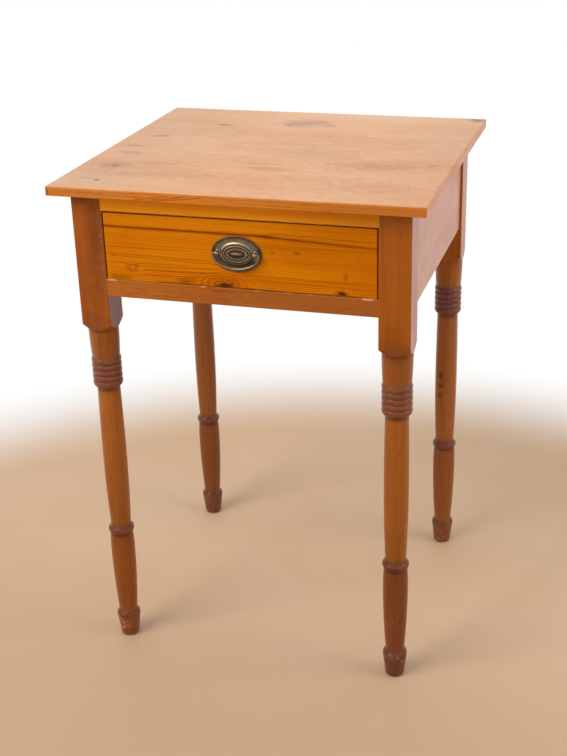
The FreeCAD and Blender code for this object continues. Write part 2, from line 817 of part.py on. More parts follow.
def make_drawer_bottom():
    """Thin board in the grooves of the front and sides, nailed up into the back."""
    body = new_body("drawer_bottom", DRAWER_PLACE)
    front_y = "(panel_front_y + bottom_clearance)"
    add_block(
        body, "board", (0, f"({front_y} + drawer_length) / 2", "groove_height + bottom_thickness / 2"),
        (
            "2 * (drawer_inner_x + groove_depth - bottom_clearance)",
            f"drawer_length - {front_y}",
            "bottom_thickness",
        ),
    )
    for number in (-1, 0, 1):
        cut_bore(
            body, f"nail_hole_{number + 1}",
            (f"{number} * bottom_nail_x", "nail_row_y", "groove_height + bottom_thickness / 2"),
            "z", "nail_hole", "bottom_thickness",
        )
    return body


# -------------------------------------------------------------------------------------- pull
PULL_PLACE = (0, "-frame_half_depth", "drawer_floor + pull_level")


def make_backplate():
    """Oval plate with a raised oval field and a medallion on it; the posts pass through it."""
    body = new_body("pull_backplate", PULL_PLACE)
    layers = (
        ("rim", "0", "plate_width", "plate_height", "plate_thickness"),
        ("dome", "plate_thickness", "dome_width", "dome_height", "dome_rise"),
        ("medallion", "plate_thickness + dome_rise", "medallion_width", "medallion_height", "medallion_rise"),
    )
    for name, start, width, height, thickness in layers:
        oval = new_sketch(body, name, "XZ_Plane", start)
        draw_ellipse(oval, width, height)
        extrude(body, "Pad", oval, thickness)
    for side in (LEFT, RIGHT):
        cut_bore(
            body, f"{SIDE_NAMES[side]}_hole", (f"{side} * post_x", "-plate_thickness / 2", "post_raise"), "y",
            "post_shank_diameter + 2 * shank_clearance", "plate_thickness",
        )
    return body


def make_post(side):
    """Ball-headed post, turned about its own axis, with a cross hole for the bail's end."""
    body = new_body(
        f"pull_{SIDE_NAMES[side]}_post",
        (f"{side} * post_x", "-frame_half_depth", "drawer_floor + post_level"),
    )
    shank, collar, neck = "post_shank_diameter / 2", "post_collar_diameter / 2", "post_neck_diameter / 2"
    ball = "post_ball_diameter / 2"
    tail_y = "drawer_front_thickness + nut_thickness + post_tail"
    ball_foot = f"sqrt({ball} * {ball} - {neck} * {neck}) - post_reach"
    profile = new_sketch(body, "profile", "XY_Plane")
    draw_chain(
        profile,
        [
            ("0", tail_y),
            (shank, tail_y),
            (shank, "-plate_thickness"),
            (collar, "-plate_thickness"),
            (collar, "-plate_thickness - post_collar_thickness"),
            (neck, "-plate_thickness - post_collar_thickness"),
            (neck, ball_foot),
            ("0", f"-post_reach - {ball}"),
        ],
        {6: (ball, -1)},
    )
    revolve(body, "Revolution", profile, "V_Axis")
    cut_bore(
        body, "bail_hole", (0, "-post_reach", 0), "x",
        "bail_rod + 2 * bail_clearance", "2 * post_ball_diameter",
    )
    return body


def make_nut(side):
    """Square nut on the inner face of the drawer front."""
    body = new_body(
        f"pull_{SIDE_NAMES[side]}_nut",
        (
            f"{side} * post_x",
            "drawer_front_thickness + nut_thickness / 2 - frame_half_depth",
            "drawer_floor + post_level",
        ),
    )
    add_block(body, "block", (0, 0, 0), ("nut_width", "nut_thickness", "nut_width"))
    cut_bore(
        body, "thread", (0, 0, 0), "y",
        "post_shank_diameter + 2 * fastener_clearance", "nut_thickness",
    )
    return body


def make_bail():
    """Rod bent to half an oval that swells in its middle, its ends hooked in through the balls."""
    body = new_body(
        "pull_bail", (0, "-frame_half_depth - post_reach", "drawer_floor + post_level"),
    )
    for side in (LEFT, RIGHT):
        name = SIDE_NAMES[side]
        start_x = f"{side} * (post_x - bail_pin_inset)"
        hook = new_sketch(body, f"{name}_hook", "XZ_Plane")
        draw_chain(
            hook,
            [
                (start_x, "0"),
                (f"{side} * (bail_arm_x - bail_elbow)", "0"),
                (f"{side} * bail_arm_x", "-bail_elbow"),
            ],
            {1: ("bail_elbow", -side)},
            closed=False,
        )
        pin = new_sketch(body, f"{name}_pin", "YZ_Plane", start_x)
        draw_circle(pin, "bail_rod", "0", "0")
        sweep(body, pin, hook)

    bow = new_sketch(body, "bow", "XZ_Plane")
    draw_chain(
        bow,
        [
            ("-bail_arm_x", "-bail_elbow"),
            ("-bail_bend_x", "-bail_bend_level"),
            ("bail_bend_x", "-bail_bend_level"),
            ("bail_arm_x", "-bail_elbow"),
        ],
        {0: ("bail_side_radius", 1), 1: ("bail_low_radius", 1), 2: ("bail_side_radius", 1)},
        closed=False,
    )
    start = new_sketch(body, "bow_start", "XY_Plane", "-bail_elbow")
    draw_circle(start, "bail_rod", "-bail_arm_x", "0")
    middle = new_sketch(body, "bow_middle", "YZ_Plane")
    draw_circle(middle, "bail_middle", "0", "-bail_drop")
    end = new_sketch(body, "bow_end", "XY_Plane", "-bail_elbow")
    draw_circle(end, "bail_rod", "bail_arm_x", "0")
    sweep(body, start, bow, [middle, end])
    return body


# --------------------------------------------------------------------------- screws and nails
def join(kind, label, pieces):
    """Fusion or compound of shapes made from the same document's primitives."""
    union = doc.addObject(kind, label)
    union.Label = label
    if kind == "Part::Compound":
        union.Links = pieces
    else:
        union.Shapes = pieces
    return union


def make_screw(name, x, y):
    """Slotted countersunk wood screw, its head level with the underside of the strip."""
    head = shape_cone(
        doc.addObject("Part::Cone", f"{name}_head"), (x, y, "opening_top"),
        "screw_head_diameter", "screw_diameter", "screw_head_height",
    )
    length = "(upper_rail_height + screw_bite - screw_head_height)"
    shank = shape_cylinder(
        doc.addObject("Part::Cylinder", f"{name}_shank"),
        (x, y, f"opening_top + screw_head_height + {length} / 2"), "z", "screw_diameter", length,
    )
    slot = shape_block(
        doc.addObject("Part::Box", f"{name}_slot"), (x, y, "opening_top + screw_slot_depth / 2"),
        ("2 * screw_head_diameter", "screw_slot_width", "screw_slot_depth"),
    )
    screw = doc.addObject("Part::Cut", name)
    screw.Base = join("Part::MultiFuse", f"{name}_blank", [head, shank])
    screw.Tool = slot
    return screw


def make_nail(name, start, axis, direction, length):
    """Round nail from the surface that its head bears on, driven along an axis."""
    def along(distance):
        return tuple(
            f"({place}) + {direction} * ({distance})" if letter == axis else place
            for letter, place in zip("xyz", start)
        )
    head = shape_cylinder(
        doc.addObject("Part::Cylinder", f"{name}_head"), along("-nail_head_height / 2"), axis,
        "nail_head_diameter", "nail_head_height",
    )
    shank = shape_cylinder(
        doc.addObject("Part::Cylinder", f"{name}_shank"), along(f"({length}) / 2"), axis,
        "nail_diameter", length,
    )
    return join("Part::MultiFuse", name, [head, shank])


def make_side_nails(strip):
    """Nails that hold the runners or kickers to the side aprons."""
    nails = []
    for side in (LEFT, RIGHT):
        for end in (FRONT, BACK):
            start = (f"{side} * runner_inner_x", f"{end} * side_nail_y", f"{strip}_level")
            name = f"{strip}_nail_{len(nails)}"
            nails.append(make_nail(name, start, "x", side, "runner_width + nail_bite"))
    return join("Part::Compound", f"{strip}_nails", nails)


def make_guide_nails():
    """Nails down through the guides into the runners."""
    nails = []
    for side in (LEFT, RIGHT):
        for end in (FRONT, BACK):
            start = (f"{side} * guide_x", f"{end} * guide_nail_y", "opening_bottom + guide_height")
            name = f"guide_nail_{len(nails)}"
            nails.append(make_nail(name, start, "z", -1, "guide_height + nail_bite"))
    return join("Part::Compound", "guide_nails", nails)


def make_bottom_nails():
    """Nails up through the drawer bottom into the drawer back."""
    nails = []
    for number in (-1, 0, 1):
        start = (
            f"{number} * bottom_nail_x",
            "nail_row_y - frame_half_depth",
            "drawer_floor + groove_height",
        )
        name = f"bottom_nail_{number + 1}"
        nails.append(make_nail(name, start, "z", 1, "bottom_thickness + nail_bite"))
    return join("Part::Compound", "drawer_bottom_nails", nails)


def make_top_screws():
    """Screws that hold the top, up through the kickers and the upper rail."""
    screws = [make_screw(f"top_screw_{number}", x, y) for number, (x, y) in enumerate(SCREW_SPOTS)]
    return join("Part::Compound", "top_screws", screws)


# ---------------------------------------------------------------------------------- assembly
nodes = [make_leg(side, end) for end in (FRONT, BACK) for side in (LEFT, RIGHT)]
nodes += [make_top(), make_back_apron(), make_upper_rail(), make_lower_rail()]
for piece_side in (LEFT, RIGHT):
    nodes += [
        make_side_apron(piece_side),
        make_runner(piece_side),
        make_kicker(piece_side),
        make_guide(piece_side),
        make_stop(piece_side),
        make_drawer_side(piece_side),
        make_post(piece_side),
        make_nut(piece_side),
    ]
nodes += [make_drawer_front(), make_drawer_back(), make_drawer_bottom(), make_backplate(), make_bail()]
nodes += [
    make_top_screws(),
    make_side_nails("runner"),
    make_side_nails("kicker"),
    make_guide_nails(),
    make_bottom_nails(),
]
doc.recompute()

# Nothing is written unless every object is sound and every cut has taken material away.
for item in doc.Objects:
    if {"Invalid", "Error"} & set(item.State):
        raise RuntimeError(f"{item.Label} failed: {item.State}")
for node in nodes:
    if node.Shape.isNull() or not node.Shape.isValid():
        raise RuntimeError(f"{node.Label} has no sound shape")
    features = [item for item in getattr(node, "Group", []) if item.isDerivedFrom("PartDesign::Feature")]
    for before, after in zip(features, features[1:]):
        if abs(before.Shape.Volume - after.Shape.Volume) < 1e-3:
            raise RuntimeError(f"{after.Label} changes nothing")

os.makedirs("parts", exist_ok=True)
for node in nodes:
    node.Shape.exportStep(f"parts/{node.Label}.step")
    print(f"{node.Label}: {len(node.Shape.Solids)} solid(s), {node.Shape.Volume / 1000:.2f} cm3")
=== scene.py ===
"""Looks of a one-drawer country stand.

It has a thin pine top, four turned legs, aprons and rails, a dovetailed drawer and an oval brass
pull. Pieces are set out in millimetres, and turned into metres where their meshes are made. The
studio is set out in metres, and noise repeats so many times per metre.
"""

import logging
import math
from dataclasses import dataclass, field, replace
from enum import Enum
from typing import Any, Mapping, Sequence, Union

import bpy
from mathutils import Matrix, Vector, noise


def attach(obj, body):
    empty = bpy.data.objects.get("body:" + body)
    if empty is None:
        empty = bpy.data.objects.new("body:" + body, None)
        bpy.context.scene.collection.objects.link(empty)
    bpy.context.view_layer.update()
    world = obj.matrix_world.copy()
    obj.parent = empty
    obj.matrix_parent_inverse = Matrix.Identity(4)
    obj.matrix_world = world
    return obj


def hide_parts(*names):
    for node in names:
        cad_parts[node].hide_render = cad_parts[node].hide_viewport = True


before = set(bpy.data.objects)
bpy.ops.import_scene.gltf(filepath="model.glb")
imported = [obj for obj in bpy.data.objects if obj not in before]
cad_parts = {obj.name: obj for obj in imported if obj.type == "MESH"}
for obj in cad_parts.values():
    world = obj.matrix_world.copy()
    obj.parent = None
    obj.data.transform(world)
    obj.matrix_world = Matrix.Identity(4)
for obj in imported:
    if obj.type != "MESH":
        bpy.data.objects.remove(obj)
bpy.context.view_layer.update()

LOG = logging.getLogger("stand")
MM = 0.001

Paint = tuple[float, float, float]
Triple = tuple[float, float, float]
Spread = Union[Triple, float]
Key = Union[int, str]
Value = Union["Sock", float]

WHITE = (1.0, 1.0, 1.0, 1.0)
UP = 2


# ---------------------------------------------------------------------------
# Meshes
# ---------------------------------------------------------------------------


@dataclass
class Skin:
    """The points and faces of a mesh in the making, in millimetres, with painted values."""

    points: list[Vector] = field(default_factory=list)
    faces: list[tuple[int, ...]] = field(default_factory=list)
    flat: set[int] = field(default_factory=set)
    painted: dict[str, dict[int, float]] = field(default_factory=dict)

    def point(self, place: Sequence[float], **painted: float) -> int:
        """Adds one point.

        Args:
            place: where it is, in millimetres.
            **painted: values to paint on it, by name.

        Returns:
            The point's number.
        """
        number = len(self.points)
        self.points.append(Vector(place))
        for name, value in painted.items():
            self.painted.setdefault(name, {})[number] = value
        return number

    def face(self, corners: Sequence[int], flat: bool = False) -> None:
        """Adds one face.

        Args:
            corners: its points' numbers, anticlockwise from outside.
            flat: whether it is shaded flat.
        """
        if flat:
            self.flat.add(len(self.faces))
        self.faces.append(tuple(corners))

    def loft(self, rings: Sequence[Sequence[int]], capped: bool = True) -> None:
        """Joins closed rings of points with quads.

        Args:
            rings: point numbers, the same count in each ring, anticlockwise about the way they run.
            capped: whether the first and last ring are closed with a flat face.
        """
        for ring, following in zip(rings, rings[1:]):
            for k in range(len(ring)):
                after = (k + 1) % len(ring)
                self.face((ring[k], ring[after], following[after], following[k]))
        if capped:
            self.face(list(reversed(rings[0])), flat=True)
            self.face(rings[-1], flat=True)

    def prism(self, outline: Sequence[tuple[float, float]], low: float, high: float) -> None:
        """Adds a flat-sided block that runs along X.

        Args:
            outline: the corners of its section in the Y-Z plane, anticlockwise.
            low: where it starts along X.
            high: where it ends.
        """
        ends = [[self.point((x, y, z)) for y, z in outline] for x in (low, high)]
        for k in range(len(outline)):
            after = (k + 1) % len(outline)
            self.face((ends[0][k], ends[0][after], ends[1][after], ends[1][k]), flat=True)
        self.face(list(reversed(ends[0])), flat=True)
        self.face(ends[1], flat=True)

    def finish(self, name: str, body: str, slot: str, *nodes: str) -> bpy.types.Object:
        """Turns the skin into a piece of the stand.

        Args:
            name: the piece's name.
            body: the body that it rides on.
            slot: the name of a material slot; not used.
            *nodes: the construction nodes that it stands for.

        Returns:
            The new object.
        """
        mesh = bpy.data.meshes.new(name)
        mesh.from_pydata([p * MM for p in self.points], [], self.faces)
        smooth = [k not in self.flat for k in range(len(self.faces))]
        mesh.polygons.foreach_set("use_smooth", smooth)
        for label, values in self.painted.items():
            layer = mesh.attributes.new(label, "FLOAT", "POINT")
            layer.data.foreach_set("value", [values.get(k, 0.0) for k in range(len(self.points))])
        mesh.validate()
        mesh.update()
        piece = bpy.data.objects.new(name, mesh)
        bpy.context.scene.collection.objects.link(piece)
        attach(piece, body)
        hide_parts(*nodes)
        return piece


def directions(count: int) -> list[float]:
    """Returns evenly spaced directions round a circle, in radians."""
    return [2 * math.pi * k / count for k in range(count)]


@dataclass
class Board:
    """A planed board with soft, slightly uneven arrises.

    Its surface is a grid whose lines lie pitch apart, and closer at the arrises: one on the edge,
    one on the curve's knee, one where the curve ends and one at margin beyond it.
    """

    low: Triple
    high: Triple
    arris: float = 0.8
    pitch: float = 9.0
    unevenness: float = 0.45
    knee: float = 0.586
    margin: float = 1.6
    curved_lines: int = 3
    slow_wave: float = 0.03
    quick_wave: float = 0.11

    def lines(self, axis: int) -> list[float]:
        """Sets out the grid's lines along an axis.

        Args:
            axis: 0 for X, 1 for Y or 2 for Z.

        Returns:
            Where the lines lie on it, in rising order.
        """
        low, high = self.low[axis], self.high[axis]
        near = [0.0, self.knee * self.arris, self.arris, self.arris + self.margin]
        inner = high - low - 2 * near[-1]
        count = max(1, math.ceil(inner / self.pitch))
        middle = [low + near[-1] + inner * k / count for k in range(1, count)]
        return [low + d for d in near] + middle + [high - d for d in reversed(near)]

    def soften(self, place: Vector) -> Vector:
        """Moves a point of the plain box onto the softened board.

        Args:
            place: the point.

        Returns:
            Its new place, as far from the box's core as the arris is wide there.
        """
        wave = noise.noise(place * self.slow_wave) + 0.5 * noise.noise(place * self.quick_wave)
        arris = self.arris * (1 + self.unevenness * max(-1.0, min(1.0, wave)))
        core = Vector([
            min(max(place[k], self.low[k] + arris), self.high[k] - arris) for k in range(3)
        ])
        return core + (place - core).normalized() * arris

    def add_to(self, skin: Skin) -> None:
        """Adds the board's surface, with wear painted along its arrises.

        Args:
            skin: what it is added to.
        """
        lines = [self.lines(axis) for axis in range(3)]
        known: dict[tuple[int, int, int], int] = {}

        def corner(index: tuple[int, int, int]) -> int:
            """Finds the point where three grid lines meet.

            Args:
                index: the lines' numbers.

            Returns:
                The point's number in the skin, made only once.
            """
            if index not in known:
                place = Vector([lines[k][index[k]] for k in range(3)])
                near = sorted(min(i, len(lines[k]) - 1 - i) for k, i in enumerate(index))
                worn = near[1] < self.curved_lines
                known[index] = skin.point(self.soften(place), wear=1.0 if worn else 0.0)
            return known[index]

        for axis in range(3):
            across, along = (axis + 1) % 3, (axis + 2) % 3
            for end in (0, len(lines[axis]) - 1):
                for i in range(len(lines[across]) - 1):
                    for j in range(len(lines[along]) - 1):
                        corners = []
                        for di, dj in ((0, 0), (1, 0), (1, 1), (0, 1)):
                            index = [0, 0, 0]
                            index[axis], index[across], index[along] = end, i + di, j + dj
                            corners.append(corner((index[0], index[1], index[2])))
                        skin.face(corners if end else list(reversed(corners)))


# ---------------------------------------------------------------------------
# Shader kit
# ---------------------------------------------------------------------------


def linear(paint: Paint) -> tuple[float, float, float, float]:
    """Undoes a screen's gamma.

    Args:
        paint: red, green and blue as a screen shows them, 0 to 255.

    Returns:
        The colour that a shader takes.
    """
    scaled = [c / 255 for c in paint]
    red, green, blue = [c / 12.92 if c <= 0.04045 else ((c + 0.055) / 1.055) ** 2.4 for c in scaled]
    return red, green, blue, 1.0


def triple(spread: Spread) -> Triple:
    """Returns three values, all alike if only one is given."""
    return spread if isinstance(spread, tuple) else (spread, spread, spread)


@dataclass(frozen=True)
class Sock:
    """A shader value. Python's operators on it add Math nodes."""

    shop: "NodeShop"
    link: bpy.types.NodeSocket

    def __add__(self, other: Value) -> "Sock":
        """Sum."""
        return self.shop.maths("ADD", self, other)

    def __radd__(self, other: Value) -> "Sock":
        """Sum, from the right."""
        return self.shop.maths("ADD", other, self)

    def __sub__(self, other: Value) -> "Sock":
        """Difference."""
        return self.shop.maths("SUBTRACT", self, other)

    def __rsub__(self, other: Value) -> "Sock":
        """Difference, from the right."""
        return self.shop.maths("SUBTRACT", other, self)

    def __mul__(self, other: Value) -> "Sock":
        """Product."""
        return self.shop.maths("MULTIPLY", self, other)

    def __rmul__(self, other: Value) -> "Sock":
        """Product, from the right."""
        return self.shop.maths("MULTIPLY", other, self)

    def __truediv__(self, other: Value) -> "Sock":
        """Quotient."""
        return self.shop.maths("DIVIDE", self, other)


class NodeShop:
    """Makes the nodes of one material, or of the world."""

    def __init__(self, owner: Union[bpy.types.Material, bpy.types.World]) -> None:
        """Clears away the nodes that a new material or world comes with.

        Args:
            owner: the material or world that the nodes are made in.
        """
        owner.use_nodes = True
        self.owner = owner
        self.tree = owner.node_tree
        self.tree.nodes.clear()

    def node(
        self,
        kind: str,
        settings: Mapping[str, Any] | None = None,
        sockets: Mapping[Key, Any] | None = None,
        output: Key = 0,
    ) -> Sock:
        """Adds a node.

        Args:
            kind: the node's type, without the leading ShaderNode.
            settings: its settings, set first. "stops" are a ramp's (position, paint) pairs.
            sockets: a value or a Sock for each input, by index or name.
            output: which output to return.

        Returns:
            That output as a Sock, or the first input of a node that has no output.
        """
        made = self.tree.nodes.new("ShaderNode" + kind)
        for key, setting in (settings or {}).items():
            if key == "stops":
                ramp = made.color_ramp
                for _ in range(len(setting) - len(ramp.elements)):
                    ramp.elements.new(0.5)
                for element, (position, paint) in zip(ramp.elements, setting):
                    element.position, element.color = position, linear(paint)
            else:
                setattr(made, key, setting)
        for key, value in (sockets or {}).items():
            if isinstance(value, Sock):
                self.tree.links.new(value.link, made.inputs[key])
            else:
                made.inputs[key].default_value = value
        return Sock(self, made.outputs[output]) if made.outputs else Sock(self, made.inputs[0])

    def maths(self, operation: str, *values: Value) -> Sock:
        """Adds a Math node on one, two or three values."""
        return self.node("Math", {"operation": operation}, dict(enumerate(values)))

    def place(self, scale: Spread, shift: Spread = 0.0) -> Sock:
        """Finds the place on the object, in its own coordinates.

        Args:
            scale: what each coordinate, in metres, is multiplied by.
            shift: what is added then.

        Returns:
            The place as a vector.
        """
        return self.node("VectorMath", {"operation": "MULTIPLY_ADD"}, {
            0: self.node("TexCoord", output="Object"), 1: triple(scale), 2: triple(shift),
        })

    def axes(self, scale: float = 1.0) -> list[Sock]:
        """Splits the object's own coordinates up.

        Args:
            scale: 1 for metres, or 1 / MM for millimetres.

        Returns:
            One value for each of X, Y and Z.
        """
        parts = self.node("SeparateXYZ", None, {0: self.place(scale)})
        return [Sock(self, part) for part in parts.link.node.outputs]

    def clouds(self, scale: Spread, shift: Spread = 0.0, detail: float = 2.0,
               roughness: float = 0.5) -> Sock:
        """Returns soft noise of 0 to 1.

        Args:
            scale: repeats per metre, along each axis or along all.
            shift: a shift in repeats, to tell one board from the next.
            detail: octaves.
            roughness: strength of the finer octaves.

        Returns:
            The noise value.
        """
        return self.node("TexNoise", None, {
            "Vector": self.place(scale, shift), "Scale": 1.0, "Detail": detail,
            "Roughness": roughness,
        })

    def smooth(self, value: Sock, low: float, high: float, start: float = 0.0,
               end: float = 1.0) -> Sock:
        """Eases a value from start, at low, to end, at high."""
        return self.node("MapRange", {"interpolation_type": "SMOOTHSTEP"},
                         {0: value, 1: low, 2: high, 3: start, 4: end})

    def mix(self, factor: Value, first: Any, second: Any, blend: str = "MIX") -> Sock:
        """Mixes two colours.

        Args:
            factor: the share of the second colour, 0 to 1.
            first: a Sock or a paint.
            second: a Sock or a paint.
            blend: how they are blended.

        Returns:
            The mixed colour.
        """
        one, other = [c if isinstance(c, Sock) else linear(c) for c in (first, second)]
        return self.node("Mix", {"data_type": "RGBA", "blend_type": blend},
                         {0: factor, 6: one, 7: other}, output=2)

    def facing_up(self) -> Sock:
        """Returns 1 where the surface faces straight up, and -1 where it faces down."""
        normal = self.node("NewGeometry", output="Normal")
        return self.node("SeparateXYZ", None, {0: normal}, output=UP)

    def rays(self, *kinds: str) -> Sock:
        """Tells some kinds of light rays from the rest.

        Args:
            *kinds: their names, such as Camera.

        Returns:
            1 for a ray of any of these kinds, and 0 for others.
        """
        found = [self.node("LightPath", output=f"Is {kind} Ray") for kind in kinds]
        any_of = found[0]
        for ray in found[1:]:
            any_of = self.maths("MAXIMUM", any_of, ray)
        return any_of

    def painted(self, name: str) -> Sock:
        """Returns a value painted on the mesh's points."""
        return self.node("Attribute", {"attribute_name": name}, output="Fac")

    def bump(self, height: Sock, depth: float) -> Sock:
        """Turns a height of 0 to 1 into a normal, with its depth in millimetres."""
        return self.node("Bump", None, {"Height": height, "Distance": depth * MM, "Strength": 1.0})

    def surface(self, **sockets: Any) -> bpy.types.Material:
        """Ends the material with a Principled surface.

        Args:
            **sockets: its inputs by name, with _ for a space.

        Returns:
            The finished material.
        """
        named = {key.replace("_", " "): value for key, value in sockets.items()}
        self.node("OutputMaterial", None, {"Surface": self.node("BsdfPrincipled", None, named)})
        return self.owner


# ---------------------------------------------------------------------------
# Finishes
# ---------------------------------------------------------------------------


class Grain(Enum):
    """The way that the grain runs, with the two axes across it."""

    X = (0, 1, 2)
    Y = (1, 0, 2)
    Z = (2, 0, 1)

    def scale(self, along: float, across: float) -> Triple:
        """Sets out a noise scale that is drawn out along the grain.

        Args:
            along: repeats per metre along the grain.
            across: repeats per metre across it.

        Returns:
            The scale along X, Y and Z.
        """
        out = [across] * 3
        out[self.value[0]] = along
        return out[0], out[1], out[2]


@dataclass(frozen=True)
class Mark:
    """A soft-edged patch of another colour: a stain, a knot, a scuff, a streak, a fleck, painted
    shade, painted light or a painted reflection.

    Places and radii are in millimetres. Swirl, also in millimetres, bends the yearly rings round
    the patch, out to swirl_reach times its radii. Specks above 0 breaks the patch up into fine
    specks, fewer the higher it is. Bands above 0 draws it as that many thin rings, as in a knot.
    """

    place: Triple
    radii: Triple
    paint: Paint
    strength: float = 0.8
    soft: float = 0.35
    ragged: float = 0.5
    swirl: float = 0.0
    swirl_reach: float = 3.2
    specks: float = 0.0
    bands: float = 0.0


@dataclass(frozen=True)
class GrainAndShadeLine:
    """A dark line on a board's face, a line of grain or a painted shade line, level + slope * along
    + bend * along squared.

    Lengths are in millimetres. The span is where along the grain it shows, and it fades over the
    last part at each end.
    """

    level: float
    slope: float
    bend: float
    width: float
    span: tuple[float, float]
    paint: Paint
    strength: float = 0.7
    waver: float = 1.2
    fade: float = 12.0


@dataclass(frozen=True)
class WoodFinish:
    """Varnished wood, cut from a log whose rings run along the grain.

    Early and late are the paints of a year's pale and dark wood, and zones replace early by a
    paint for each height of a turned piece, which late then darkens. Edges is the early paint of
    faces that don't look up, and under lies over everything on faces that look down. Streaks,
    fibres and ticks are finer and finer strokes along the grain, and patches are broad clouds.
    """

    name: str
    grain: Grain
    early: Paint
    late: Paint
    ring: float = 3.4
    pith: tuple[float, float] = (0.0, -140.0)
    wander: float = 5.0
    contrast: float = 0.55
    fibre: float = 0.35
    fibre_tint: Paint = (178, 140, 110)
    streak_tint: Paint = (165, 120, 85)
    ticks: float = 0.0
    tick_tint: Paint = (206, 160, 132)
    patchy: Paint = (150, 90, 40)
    patchiness: float = 0.25
    worn: Paint = (205, 150, 95)
    wear: float = 0.5
    dirt_and_shade: Paint = (52, 26, 16)
    rough: tuple[float, float] = (0.32, 0.5)
    relief: float = 0.12
    coat: float = 0.35
    coat_rough: float = 0.22
    gloss: float = 1.35
    base_gloss: float = 1.3
    sheen: Paint = (255, 255, 255)
    seed: float = 0.0
    edges: Paint | None = None
    under: Paint | None = None
    zones: tuple[tuple[float, Paint], ...] = ()
    marks: tuple[Mark, ...] = ()
    lines: tuple[GrainAndShadeLine, ...] = ()

    def rings(self, shop: NodeShop) -> Sock:
        """Draws the log's yearly rings.

        Args:
            shop: where the nodes are made.

        Returns:
            Their darkness, 0 to 1.
        """
        axes = shop.axes(1 / MM)
        first, second = [
            axes[axis] - centre for axis, centre in zip(self.grain.value[1:], self.pith)
        ]
        sway = (shop.clouds(self.grain.scale(2.2, 5.0), self.seed) - 0.5) * (4 * self.wander)
        waver = (shop.clouds(self.grain.scale(14.0, 22.0), self.seed + 7) - 0.5) * self.ring * 1.3
        reach = shop.maths("SQRT", first * first + second * second) + sway + waver
        for mark in self.marks:
            if mark.swirl:
                near = shop.smooth(self.nearness(shop, mark, mark.swirl_reach), 1.0, 0.0)
                reach = reach + near * mark.swirl
        years = reach / self.ring
        # Each ring darkens slowly, ends sharply, and is as strong as its year's own number says.
        turn = shop.maths("FRACT", years)
        line = shop.smooth(turn, 0.2, 0.86) * shop.smooth(turn, 1.0, 0.88)
        number = shop.maths("FLOOR", years)
        year = shop.node("TexWhiteNoise", {"noise_dimensions": "1D"}, {"W": number})
        strength = shop.clouds(self.grain.scale(3.0, 30.0), self.seed + 3, 3.0)
        return line * (year * 0.7 + 0.3) * shop.smooth(strength, 0.3, 0.7, 0.25, 1.0)

    def drawn(self, shop: NodeShop, line: GrainAndShadeLine) -> Sock:
        """Draws one line of grain or of painted shade.

        Args:
            shop: where the nodes are made.
            line: the line.

        Returns:
            How strongly it shows, 0 to 1.
        """
        axes = shop.axes(1 / MM)
        along, level = axes[self.grain.value[0]], axes[UP]
        waver = (shop.clouds(self.grain.scale(16.0, 3.0), line.level, 3.0) - 0.5) * (2 * line.waver)
        above = level - along * line.slope - along * along * line.bend - line.level
        off = shop.maths("ABSOLUTE", above + waver)
        swell = shop.clouds(self.grain.scale(25.0, 3.0), line.level + 5)
        thick = swell * line.width + line.width * 0.5
        (start, end), fade = line.span, line.fade
        shown = shop.smooth(along, start, start + fade) * shop.smooth(along, end, end - fade)
        return shop.smooth(off / thick, 1.3, 0.3) * shown * line.strength

    def nearness(self, shop: NodeShop, mark: Mark, spread: float = 1.0) -> Sock:
        """Measures how far a mark's centre is.

        Args:
            shop: where the nodes are made.
            mark: the mark.
            spread: how many times as large the mark is taken to be.

        Returns:
            The distance, 1 at the edge of the mark.
        """
        scale = [1 / (radius * MM * spread) for radius in mark.radii]
        shift = [-c * MM * s for c, s in zip(mark.place, scale)]
        return shop.node("VectorMath", {"operation": "LENGTH"},
                         {0: shop.place(tuple(scale), tuple(shift))}, output="Value")

    def ground(self, shop: NodeShop, seed: float) -> Union[Sock, Paint]:
        """Lays the first paint, under all grain.

        Args:
            shop: where the nodes are made.
            seed: what tells this piece's noise from the next one's.

        Returns:
            Its colour.
        """
        if self.zones:
            uneven = shop.axes()[UP] + (shop.clouds((60.0, 60.0, 25.0), seed) - 0.5) * 0.006
            stops = [(z * MM, paint) for z, paint in self.zones]
            return shop.node("ValToRGB", {"stops": stops}, {0: uneven})
        if self.edges:
            return shop.mix(shop.smooth(shop.facing_up(), 0.95, 0.4), self.early, self.edges)
        return self.early

    def marked(self, shop: NodeShop, colour: Sock, seed: float) -> Sock:
        """Puts the marks on.

        Args:
            shop: where the nodes are made.
            colour: the colour under them.
            seed: what tells this piece's noise from the next one's.

        Returns:
            The colour with them.
        """
        rag = shop.clouds(90.0, seed, 4.0, 0.65) - 0.5
        speck = shop.clouds(240.0, seed, 3.0, 0.6)
        for mark in self.marks:
            edge = self.nearness(shop, mark) + rag * (mark.ragged * 2)
            spot = shop.smooth(edge, 1 + mark.soft, 1 - mark.soft, 0.0, mark.strength)
            if mark.specks:
                spot = spot * shop.smooth(speck, mark.specks, mark.specks + 0.05)
            if mark.bands:
                turn = shop.maths("FRACT", edge * mark.bands)
                spot = spot * shop.smooth(turn, 0.35, 0.75) * shop.smooth(turn, 1.0, 0.85)
            colour = shop.mix(spot, colour, mark.paint)
        return colour

    def handled(self, shop: NodeShop, colour: Sock, seed: float) -> Sock:
        """Puts on rubbed arrises, dirt and painted shade in the hollows and the underside's own
        paint.

        Args:
            shop: where the nodes are made.
            colour: the colour under them.
            seed: what tells this piece's noise from the next one's.

        Returns:
            The colour with them.
        """
        rubbed = shop.smooth(shop.clouds(45.0, seed, 4.0, 0.7), 0.42, 0.62)
        colour = shop.mix(shop.painted("wear") * rubbed * self.wear, colour, self.worn)
        # Dirt and painted shade, where the mesh paints it into hollows and along the head's
        # shoulder.
        dirt_and_shade = shop.smooth(shop.clouds(70.0, seed, 3.0), 0.25, 0.6, 0.45, 1.0)
        colour = shop.mix(shop.painted("grime") * dirt_and_shade, colour, self.dirt_and_shade)
        if self.under:
            colour = shop.mix(shop.smooth(shop.facing_up(), -0.3, -0.8), colour, self.under)
        return colour

